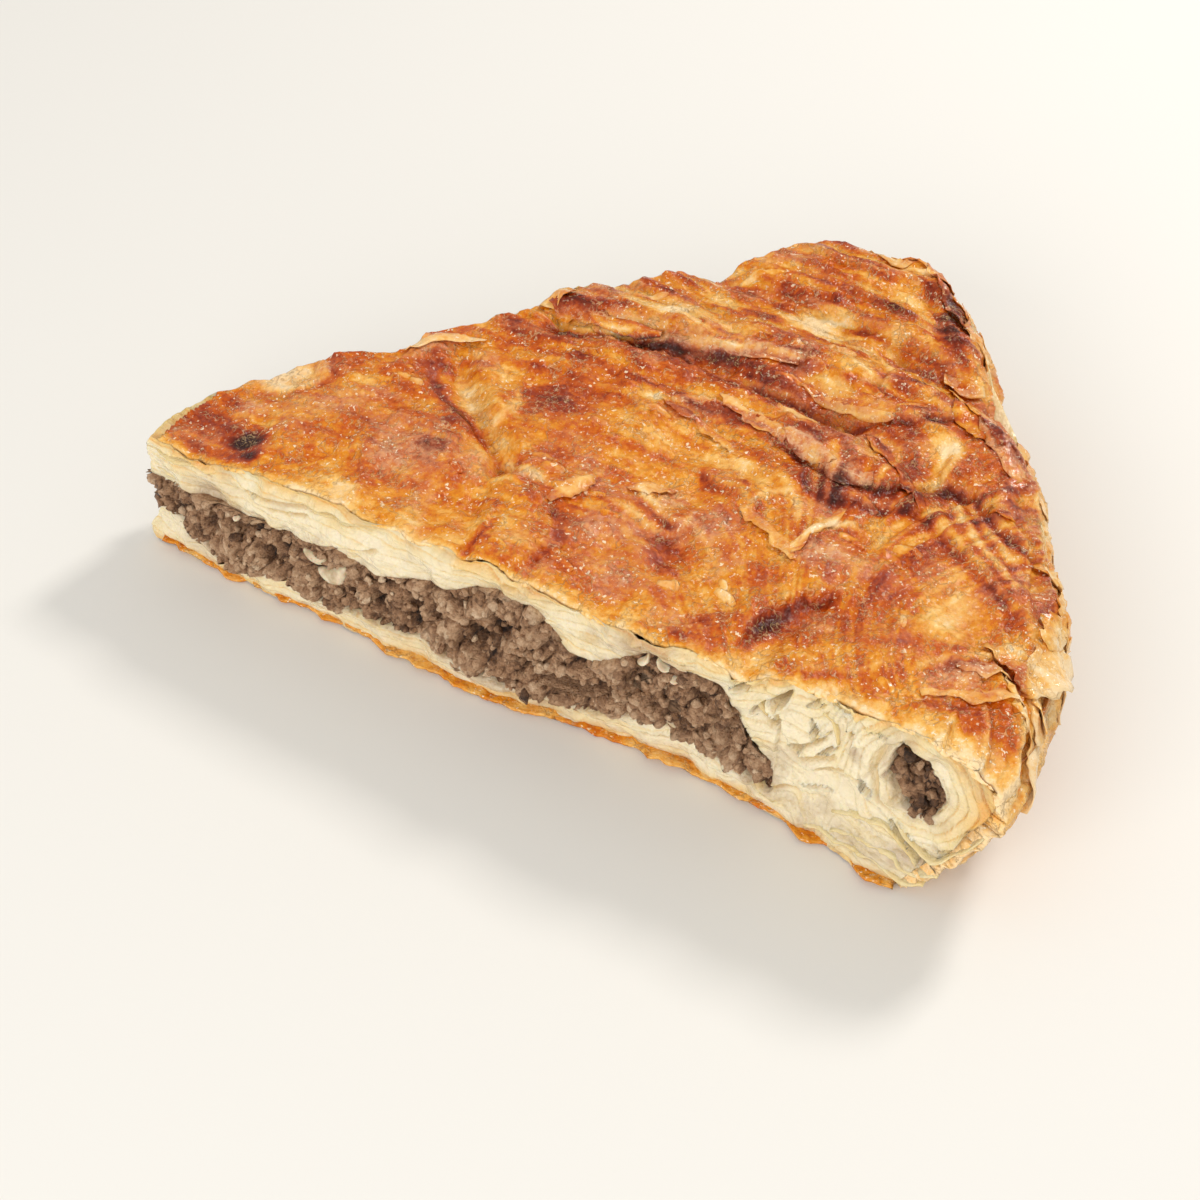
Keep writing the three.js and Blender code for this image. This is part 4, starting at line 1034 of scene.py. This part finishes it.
mark(bm, "veil", np.clip(0.3 * rough(x, y, 10, 124), 0, 1))
bmesh.ops.recalc_face_normals(bm, faces=bm.faces)
bmesh.ops.solidify(bm, geom=bm.faces[:], thickness=-BASE_THICK)
settle(bm, "base_crust", crust_finish, "pastry")

# ---- Loose leaves ----
# Ends and scraps of the outermost leaves, torn and lifted as they baked, thin and brittle.
# Each is a strip of sheet along a curve, one long edge held by the crust and the other free.

LEAF_THICK = 0.16
# A leaf's curve on the flat sheet from a to c drawn towards b, width, lift, browning, dryness with some
# painted highlight, end curl.
LEAVES = (
    ((195, -68), (200, -58), (208, -50), 7.5, 3.2, -0.05, 0.3, 1.8),
    ((207, -31), (211, -42), (201, -53), 8, 2.2, -0.1, 0.1, 0),
    ((189, -56), (201, -60), (203, -75), 7, 2.4, -0.02, 0.2, 0.8),
    ((195, -73), (202, -78), (205, -89), 6, 1.6, -0.05, 0.4, 0.5),
    ((199, -31), (205, -29), (209, -24), 4, 1.4, -0.15, 0.2, 1.0),
    ((147, 2.5), (153, -1.5), (158, -8), 4, 0.9, 0.0, 0.9, 0.3),
    ((157, -5), (160, -12), (166, -12), 6, 0.6, 0.05, 0.8, 0.3),
    ((133, 14), (141, 8), (148, 0.5), 4.2, 0.35, -0.12, 0.5, 0),
    ((92, 43.5), (103, 36), (118, 34), 4.5, 1.3, 0.15, 0.1, 0.6),
    ((131, 31.5), (140, 29), (149, 26.5), 3.6, 0.6, -0.05, 0.8, 0),
    ((149, -34), (155, -28), (160, -20), 3.4, 0.4, -0.08, 0.4, 0),
    ((100, -23), (104, -17), (109, -15.5), 4.4, 0.3, -0.06, 0.4, 0.1),
    ((181, 30), (184, 25), (189, 26), 4, 1.2, -0.1, 0.5, 0.5),
    ((60, 28), (68, 31.5), (79, 30), 4.5, 0.9, -0.25, 0.6, 0.5),
    ((89, 42.5), (93, 45), (98, 43), 4, 0.9, -0.2, 0.4, 0.5),
    ((116, -17), (121, -14), (126, -17), 5, 0.5, 0.05, 0.5, 0.3),
    ((140, -21), (148, -27), (152, -37), 3.5, 0.6, 0.0, 0.3, 0),
    ((120, 12), (132, 6), (139, -5), 3.0, 0.6, 0.1, 0.2, 0),
    ((165, 5), (172, -6), (177, -20), 3.2, 0.8, 0.1, 0.1, 0),
    ((150, 22), (160, 14), (170, 10), 3.4, 0.8, -0.1, 0.5, 0.3),
    ((186, 58), (189, 46), (190, 34), 5, 1.4, -0.1, 0.4, 0.4),
    ((176, 66), (181, 56), (186, 44), 4, 1.2, 0.1, 0.2, 0.3),
    ((183, -64), (188, -62), (194, -64), 5, 0.7, 0.0, 0.9, 0.4),
    ((176, -72), (186, -70), (196, -72), 4, 0.8, -0.1, 0.4, 0.3),
)  # fmt: skip
draw = np.random.default_rng(11)


def leaf(bm, a, b, c, wide, lift, bake, veil, curl=0.0):
    """A torn strip along a curve on the crust, rising across its width from held edge to free edge."""
    long = math.dist(a, b) + math.dist(b, c)
    made = bmesh.ops.create_grid(bm, x_segments=max(6, int(long / 1.2)), y_segments=5, size=0.5)["verts"]
    t, v = np.array([vert.co[:2] for vert in made]).T + 0.5
    a, b, c = np.array(a, float), np.array(b, float), np.array(c, float)
    middle = np.outer((1 - t) ** 2, a) + np.outer(2 * t * (1 - t), b) + np.outer(t**2, c)
    forward = np.outer(1 - t, b - a) + np.outer(t, c - b)
    forward = forward / np.linalg.norm(forward, axis=-1, keepdims=True)
    seed = a[0] + 3 * a[1]
    ragged = 1 + 0.3 * lumps(t * long / 3.5, seed, 5) + 0.2 * lumps(t * long / 1.3, seed, 6)
    aside = (v - 0.3) * wide * np.sin(np.pi * np.clip(t, 0.04, 0.96)) ** 0.35 * ragged
    x, y = middle[:, 0] + forward[:, 1] * aside, middle[:, 1] - forward[:, 0] * aside
    wavy = 0.65 + 0.5 * lumps(t * long / 5, seed, 7)
    rise = -0.25 + 0.3 * smooth(v, 0, 0.3) + lift * v**1.5 * wavy + curl * t**4
    work = leaf_work(x, y)
    relief = crust_relief(x, y, work) * (1 - smooth(rise, 0.6, 2.5))
    shade = crust_bake(x, y, work) + bake - 0.08 * v
    bake_layer, veil_and_highlight_layer = bm.verts.layers.float["bake"], bm.verts.layers.float["veil"]
    for vert, place, tone in zip(made, crust_place(x, y, relief + rise), shade):
        vert.co = place
        vert[bake_layer] = tone
        vert[veil_and_highlight_layer] = veil


def random_leaf(bm, x, y, turn, long, wide, lift, spread):
    """A small leaf at a place and turn, slightly bent."""
    turn = turn + draw.normal(0, 0.3)
    half_x, half_y = math.cos(turn) * long / 2, math.sin(turn) * long / 2
    bend = draw.uniform(-0.2, 0.2) * long
    bend_x, bend_y = -bend * math.sin(turn), bend * math.cos(turn)
    ends = (x - half_x, y - half_y), (x + bend_x, y + bend_y), (x + half_x, y + half_y)
    bake, veil = draw.normal(-0.04, spread), draw.uniform(0, 0.8) ** 2
    leaf(bm, *ends, wide, lift, bake, veil, draw.uniform(0, 0.4) * lift)


bm = bmesh.new()
for name in ("bake", "veil"):
    bm.verts.layers.float.new(name)
for spec in LEAVES:
    leaf(bm, *spec)
for _ in range(26):
    angle_at, past = draw.uniform(-0.36, 0.43), draw.uniform(8, 50)
    reach_at = float(rim_start(angle_at)) + past
    x, y = reach_at * math.cos(angle_at), reach_at * math.sin(angle_at)
    wide = draw.uniform(3, 8)
    long, lift = draw.uniform(10, 26), draw.uniform(0.3, 0.9)
    random_leaf(bm, x, y, angle_at - math.pi / 2 + 0.3, long, wide, lift, 0.05)
for _ in range(70):
    angle_at, reach_at = draw.uniform(-0.42, 0.42), 190 * draw.uniform(0.1, 1) ** 0.5
    x, y = reach_at * math.cos(angle_at), reach_at * math.sin(angle_at)
    wrinkled = float(wrinkling(x, y))
    turn = math.radians(-26 - 38 * float(smooth(-y, -10, 70) * smooth(x, 120, 180))) + math.pi
    long = draw.uniform(3, 6) + wrinkled * draw.uniform(0, 8)
    random_leaf(bm, x, y, turn, long, draw.uniform(1, 2.6), draw.uniform(0.05, 0.2) + 0.2 * wrinkled, 0.05)
bmesh.ops.recalc_face_normals(bm, faces=bm.faces)
bmesh.ops.solidify(bm, geom=bm.faces[:], thickness=-LEAF_THICK)
leaf_finish = material("loose_leaf", baked_leaf, ("bake", "veil"), 0.0004, Specular_IOR_Level=0.3)
settle(bm, "loose_leaves", leaf_finish, "pastry")

# ---- Minced meat ----
# Cooked beef mince: fine granules that cling together in clumps of some 5 mm, with gaps between them that
# painted shade makes dark.
# A lumpy core runs through the wedge, and loose crumbs stand on it where it shows.

# Gaps between clumps of the front cut, pushed in and darkened with painted shade: distance from the tip,
# height, half length, half height.
HOLLOWS = (
    (108.5, 12.0, 5.0, 2.6), (104.5, 10.8, 2.4, 1.7), (117, 16, 1.9, 2.4), (126.8, 24.5, 1.5, 3.0),
    (18.2, 12.8, 2.1, 3.4), (24.4, 15.4, 1.7, 2.6), (93.2, 20.0, 1.7, 2.8), (98.6, 14.2, 1.7, 2.0),
    (87.4, 14.2, 1.8, 2.6), (125, 31, 2.0, 1.3), (47, 15, 1.5, 1.5), (72, 17, 1.5, 1.9), (78, 19, 1.3, 2.2),
    (63, 14, 1.3, 2.0), (139, 25, 1.7, 2.8), (144, 18, 1.8, 1.7), (56, 12, 1.5, 1.3), (34, 13, 1.3, 1.9),
    (133, 19, 1.5, 1.9), (40, 17.5, 2.0, 1.0), (67, 21, 1.8, 1.0), (112, 21, 1.2, 2.4),
)  # fmt: skip
FACE_SETBACK = 1.9
CORE_COLUMNS = {"front": 420, "tip": 56, "back": 260}
CORE_ROWS = 56
core_ends = np.cumsum([0, *CORE_COLUMNS.values()])


def hollow_share(along, height):
    share = 0
    for at, middle, half_along, half_height in HOLLOWS:
        away = np.hypot((along - at) / half_along, (height - middle) / half_height)
        share = np.maximum(share, hill(away, 1.0))
    return share


def domes(x, y, size, seed):
    """Rounded grains of a size in mm packed side by side: height from 0 to 1, and each grain's own number."""
    number, off_x, off_y, edge = plates(x, y, size, seed)
    return np.sqrt(np.clip(1 - 1.7 * (off_x**2 + off_y**2), 0, 1)) * smooth(edge, 0, 0.16), number


def mince(x, y, front):
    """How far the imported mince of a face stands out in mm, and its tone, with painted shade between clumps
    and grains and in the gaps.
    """
    warp_x, warp_y = x + 2.0 * rough(x, y, 5, 131), y + 2.0 * rough(x, y, 5, 134)
    clump, clump_number = domes(warp_x, warp_y, 6.5, 137)
    grain, grain_number = domes(warp_x, warp_y, 2.4, 140)
    fine = domes(x + 0.4 * rough(x, y, 1.5, 133), y, 1.1, 143)[0]
    relief = (2.7 + 1.2 * clump_number) * clump + (1.0 + 0.4 * grain_number) * grain + 0.35 * fine
    deep = hollow_share(x, y) * front
    # Painted shade: darker where clumps and grains meet, and in the gaps.
    shade = 0.64 + 0.14 * clump_number + 0.14 * grain_number - 0.36 * (1 - clump) - 0.16 * (1 - grain)
    out = relief * (1 - 0.6 * deep) + 0.25 * rough(x, y, 0.8, 146) - FACE_SETBACK - 4.5 * deep
    return out, np.clip(shade + 0.12 * rough(x, y, 8, 149) - 0.4 * deep, 0, 1)


bm = bmesh.new()
bmesh.ops.create_grid(bm, x_segments=int(core_ends[-1]), y_segments=CORE_ROWS, size=0.5)
x, y, _ = places(bm).T
column, level = np.round((x + 0.5) * core_ends[-1]), y + 0.5
front, back = column <= core_ends[1], column > core_ends[2]
across = np.interp(column, core_ends, (0, 0, 1, 1))
run = np.interp(column, core_ends, (1, 0, 0, BACK_REACH))
profile = MEAT_END * np.where(front, run, run / BACK_REACH)
height = mix(meat_bottom(profile) - 0.9, meat_top(profile) + 0.9, level)
along = mix(tip_radius(across, height / CROWN), TIP_LINE + MEAT_END, run) - TIP_LINE
unrolled = np.where(front, along, np.where(back, -25 - along, -25 * across))
out, shade = mince(unrolled, height, front)
move(bm, face_place(across, TIP_LINE + along, height, out))
mark(bm, "tone", shade)
core_edge = close_edge(bm, rim_of(bm), lambda vert: inward(vert, 3, 0))
bmesh.ops.edgeloop_fill(bm, edges=core_edge)

tree, given, goal = effect("cooked_mince", {"tone": 0.5}, SURFACE)
mottle = sum_of(tree, "SUBTRACT", noise(tree, 1.3, 6, 0.7), 0.5)
tone = sum_of(tree, "MULTIPLY_ADD", mottle, 1.2, given["tone"], clamp=True)
colour = ramp(
    tree, tone,
    (0.0, paint(40, 24, 14)), (0.25, paint(112, 77, 50)), (0.5, paint(176, 132, 96)),
    (0.75, paint(212, 172, 134)), (1.0, paint(238, 208, 172)),
)  # fmt: skip
strands = noise(tree, 1.1, 5, 0.7, stretch=(1, 1, 1.8))
fibres = sum_of(tree, "MULTIPLY_ADD", noise(tree, 0.5, 3, 0.6), 0.5, strands)
juicy = between(tree, noise(tree, 1.8, 4), 0.35, 0.6, 0.22, 0.65)
finish_with(tree, goal, Color=colour, Roughness=juicy, Height=fibres)
mince_finish = material("cooked_mince", tree, ("tone",), 0.0011)
settle(bm, "mince_core", mince_finish, "meat_layer", slot="meat")

CHIPS = 4  # flat sides broken off each crumb
ball = bmesh.new()
bmesh.ops.create_uvsphere(ball, u_segments=8, v_segments=6, radius=1)
BALL = places(ball)


def crumb(centre, size, shade):
    """Corners and tone of one crumb of mince, a ball made uneven and broken off flat here and there."""
    spot = BALL * draw.uniform(0.65, 1.3, 3)
    for _ in range(CHIPS):
        way = draw.normal(0, 1, 3)
        way = way / np.linalg.norm(way)
        spot = spot - np.outer(np.maximum(spot @ way - draw.uniform(0.35, 0.75), 0), way)
    dents = lumps(3 * spot[:, 0] + centre[0], 3 * spot[:, 1] + 2 * spot[:, 2] + centre[2], 151)
    spot = spot * (1 + 0.3 * dents)[:, None]
    turn = Matrix.Rotation(draw.uniform(0, 6.28), 3, Vector(draw.normal(0, 1, 3)))
    tone = np.clip(draw.normal(shade, 0.17), 0.05, 0.95)
    return centre + size * spot @ np.array(turn).T, tone


def crumb_on_face(across_at, along_at, height_at, sunk, size, shade=0.58):
    spot = [np.array([value]) for value in (across_at, TIP_LINE + along_at, height_at, sunk)]
    return crumb(face_place(*spot)[0], size, shade)


def crumb_heap(crumbs):
    """A mesh of crumbs: balls doubled until there is one for each, then moved to the crumbs' corners."""
    bm = ball.copy()
    parts = bm.verts, bm.edges, bm.faces
    of_ball = [len(part) for part in parts]
    count = 1
    while count < len(crumbs):
        added = min(count, len(crumbs) - count)
        copied = [item for part, own in zip(parts, of_ball) for item in part[: added * own]]
        bmesh.ops.duplicate(bm, geom=copied)
        count += added
    move(bm, np.concatenate([corners for corners, _ in crumbs]))
    bm.normal_update()
    mark(bm, "tone", np.repeat([tone for _, tone in crumbs], len(BALL)))
    return bm


def crumbs_on_cut(side, spacing, largest):
    """Crumbs over the slab's face at a cut, on its clumps, inside its outline and out of the gaps."""
    crumbs = []
    across_at, reach = (0.0, 1.0) if side < 0 else (1.0, BACK_REACH)
    for profile_at in np.arange(2.0, MEAT_END - 1, spacing):
        low, high = float(meat_bottom(profile_at)) + 0.4, float(meat_top(profile_at)) - 0.4
        rows = max(1, round((high - low) / spacing))
        for row in range(rows):
            level = low + (high - low) * (row + draw.uniform(0, 1)) / rows
            at = profile_at * reach + draw.uniform(-0.5, 0.5) * spacing
            size = largest * draw.uniform(0.4, 1) ** 1.5
            unrolled = np.array(at if side < 0 else -25 - at)
            out = float(mince(unrolled, np.array(level), side < 0)[0])
            if side > 0 or hollow_share(at, level) < 0.4:
                sunk = out - draw.uniform(0, 0.7) * size
                crumbs.append(crumb_on_face(across_at, at, level, sunk, size))
    return crumbs


crumbs = crumbs_on_cut(-1, 1.9, 1.6)
crumbs += crumbs_on_cut(1, 2.6, 1.7)
for across_at in np.arange(0.03, 0.98, 0.05):
    for level in (12.5, 14.3, 16, 17.4, 18.8):
        level = level + draw.uniform(-0.5, 0.5)
        tip_at = float(tip_radius(across_at, level / CROWN)) - TIP_LINE
        sunk, size = draw.uniform(-1.6, 0.2), draw.uniform(0.7, 1.5)
        crumbs.append(crumb_on_face(across_at, tip_at, level, sunk, size))
settle(crumb_heap(crumbs), "mince_crumbs", mince_finish, "meat_layer", slot="meat")

# ---- Mince in the rolled edge ----
# A second, thinner run of the same mince, rolled up in the outer edge. Its ends show at both cuts.

roll_radius = curve_through((-26, 198.4), (-14, 191), (0, 184), (12, 179), (21, 175), (26, 162))
roll_height = curve_through((-26, 25), (-16, 23), (0, 21), (26, 21))
ROLL_RINGS, ROLL_SIDES = 90, 40

crumbs = []
for across_at, middle in ((0.0, ROLL_MEAT), (1.0, BACK_ROLL)):
    for _ in range(150):
        way, off = draw.uniform(0, 6.28), draw.uniform(0, 1) ** 0.5 * 0.88
        right = ROLL_MEAT["half_along"] * off * math.cos(way)
        up = ROLL_MEAT["half_height"] * off * math.sin(way)
        sunk, size = draw.uniform(-2.6, -0.4), 1.8 * draw.uniform(0.35, 1) ** 1.3
        at, level = middle["along"] + right - 0.225 * up, middle["height"] + up
        crumbs.append(crumb_on_face(across_at, at, level, sunk, size, 0.4))
bm = crumb_heap(crumbs)

tube = bmesh.ops.create_grid(bm, x_segments=ROLL_SIDES, y_segments=ROLL_RINGS, size=0.5)["verts"]
x, y, _ = np.array([vert.co[:] for vert in tube]).T
turn, across = 2 * np.pi * (x + 0.5), y + 0.5
angle = mix(-HALF_ANGLE, HALF_ANGLE, across)
fat = np.minimum(1, 4 * np.sqrt(np.sin(np.pi * np.clip(across, 0.02, 0.98))))
fat = fat * (0.95 + 0.08 * rough(across * 160, turn * 3, 4, 161))
radius = roll_radius(np.degrees(angle)) + ROLL_MEAT["half_along"] * fat * np.cos(turn)
height = roll_height(np.degrees(angle)) + ROLL_MEAT["half_height"] * fat * np.sin(turn)
inset = FACE_SETBACK * (np.outer((1 - across) ** 40, cut_out(-1)) + np.outer(across**40, cut_out(1)))
spots = np.column_stack((plan_place(across, radius, 0.7) - inset, height))
tone_layer = bm.verts.layers.float["tone"]
for vert, place in zip(tube, spots):
    vert.co = place
    vert[tone_layer] = 0.3
bmesh.ops.remove_doubles(bm, verts=tube, dist=0.001)
bmesh.ops.holes_fill(bm, edges=rim_of(bm), sides=0)
settle(bm, "rolled_mince", mince_finish, "meat_roll", slot="meat")

# ---- Onion ----
# Bits of onion cooked soft and glassy in the mince. Each is a short curved piece with a ridge along it.

# Distance from the tip, height, half length, half height, tilt in degrees.
ONION_BITS = (
    (51.5, 15.2, 4.6, 2.0, 28), (46.6, 18.0, 3.4, 1.5, 8), (25.5, 19.6, 1.2, 0.8, 10),
    (127.5, 30.0, 2.2, 0.7, 50), (131.5, 30.6, 1.8, 0.6, -20), (134.5, 28.6, 1.6, 0.7, 30),
)  # fmt: skip
bm = bmesh.new()
for at, level, half_along, half_height, tilt in ONION_BITS:
    made = bmesh.ops.create_uvsphere(bm, u_segments=20, v_segments=12, radius=1)["verts"]
    local = np.array([vert.co[:] for vert in made])
    a, b, c = local[:, 0] * half_along, local[:, 1] * 1.6, local[:, 2] * half_height
    c = c + 0.4 * half_along * (local[:, 0] ** 2) - 0.25 * np.abs(local[:, 1]) + 0.12 * lumps(a, b, 171)
    turn = math.radians(tilt)
    along = at + a * math.cos(turn) - c * math.sin(turn)
    height = level + a * math.sin(turn) + c * math.cos(turn)
    for vert, place in zip(made, face_place(0 * along, TIP_LINE + along, height, ONION["proud"] - b)):
        vert.co = place
tree, given, goal = effect("glassy_onion", {}, SURFACE)
colour = ramp(tree, noise(tree, 2.5, 3), (0.3, paint(182, 160, 124)), (0.7, paint(228, 212, 184)))
glossy = between(tree, noise(tree, 3), 0.3, 0.7, 0.12, 0.28)
finish_with(tree, goal, Color=colour, Roughness=glossy, Height=noise(tree, 1.5))
soft = {"Subsurface_Weight": 0.4, "Subsurface_Scale": 0.002, "IOR": 1.4}
onion_finish = material("glassy_onion", tree, (), 0.0002, **soft)
settle(bm, "onion_bits", onion_finish, "onion_piece", slot="onion")

# ---- Setting ----
# A plain pale floor, a soft key light from behind on the right, a broad fill in front and the photo's view.

FLOOR_HALF = 3.0
bm = bmesh.new()
bmesh.ops.create_grid(bm, x_segments=1, y_segments=1, size=FLOOR_HALF)
mesh = bpy.data.meshes.new("floor")
bm.to_mesh(mesh)
bm.free()
floor = bpy.data.objects.new("floor", mesh)
bpy.context.scene.collection.objects.link(floor)
floor_finish = bpy.data.materials.new("pale_floor")
floor_finish.use_nodes = True
floor_shader = floor_finish.node_tree.nodes["Principled BSDF"]
floor_shader.inputs["Base Color"].default_value = paint(232, 229, 222)
floor_shader.inputs["Roughness"].default_value = 0.6
floor.data.materials.append(floor_finish)

world = bpy.data.worlds.new("studio")
bpy.context.scene.world = world
world.use_nodes = True
world.node_tree.nodes["Background"].inputs["Color"].default_value = (1.0, 0.99, 0.975, 1)
world.node_tree.nodes["Background"].inputs["Strength"].default_value = 0.62


def softbox(name, place, aim, width, depth, watts, colour=(1, 1, 1)):
    light = bpy.data.lights.new(name, "AREA")
    light.shape, light.size, light.size_y = "RECTANGLE", width, depth
    light.energy, light.color = watts, colour
    box = bpy.data.objects.new(name, light)
    box.location = place
    box.rotation_euler = (Vector(aim) - Vector(place)).to_track_quat("-Z", "Y").to_euler()
    bpy.context.scene.collection.objects.link(box)


softbox("key", (0.5, 0.6, 0.75), (0, 0, 0.02), 0.2, 0.2, 5.6, (1, 0.97, 0.94))
softbox("fill", (-0.35, -0.9, 0.5), (0, 0, 0.02), 0.9, 0.6, 7)

camera_data = bpy.data.cameras.new("view")
camera_data.sensor_width, camera_data.lens = 36, 70
camera = bpy.data.objects.new("view", camera_data)
CAMERA_PLACE = Vector((154.5, -379.2, 352.4))
CAMERA_AIM = Vector((109.9, -13.2, 0))
camera.location = (CAMERA_PLACE + APEX) / 1000
camera.rotation_euler = (CAMERA_AIM - CAMERA_PLACE).to_track_quat("-Z", "Y").to_euler()
bpy.context.scene.collection.objects.link(camera)
bpy.context.scene.camera = camera
bpy.context.scene.view_settings.view_transform = "Standard"
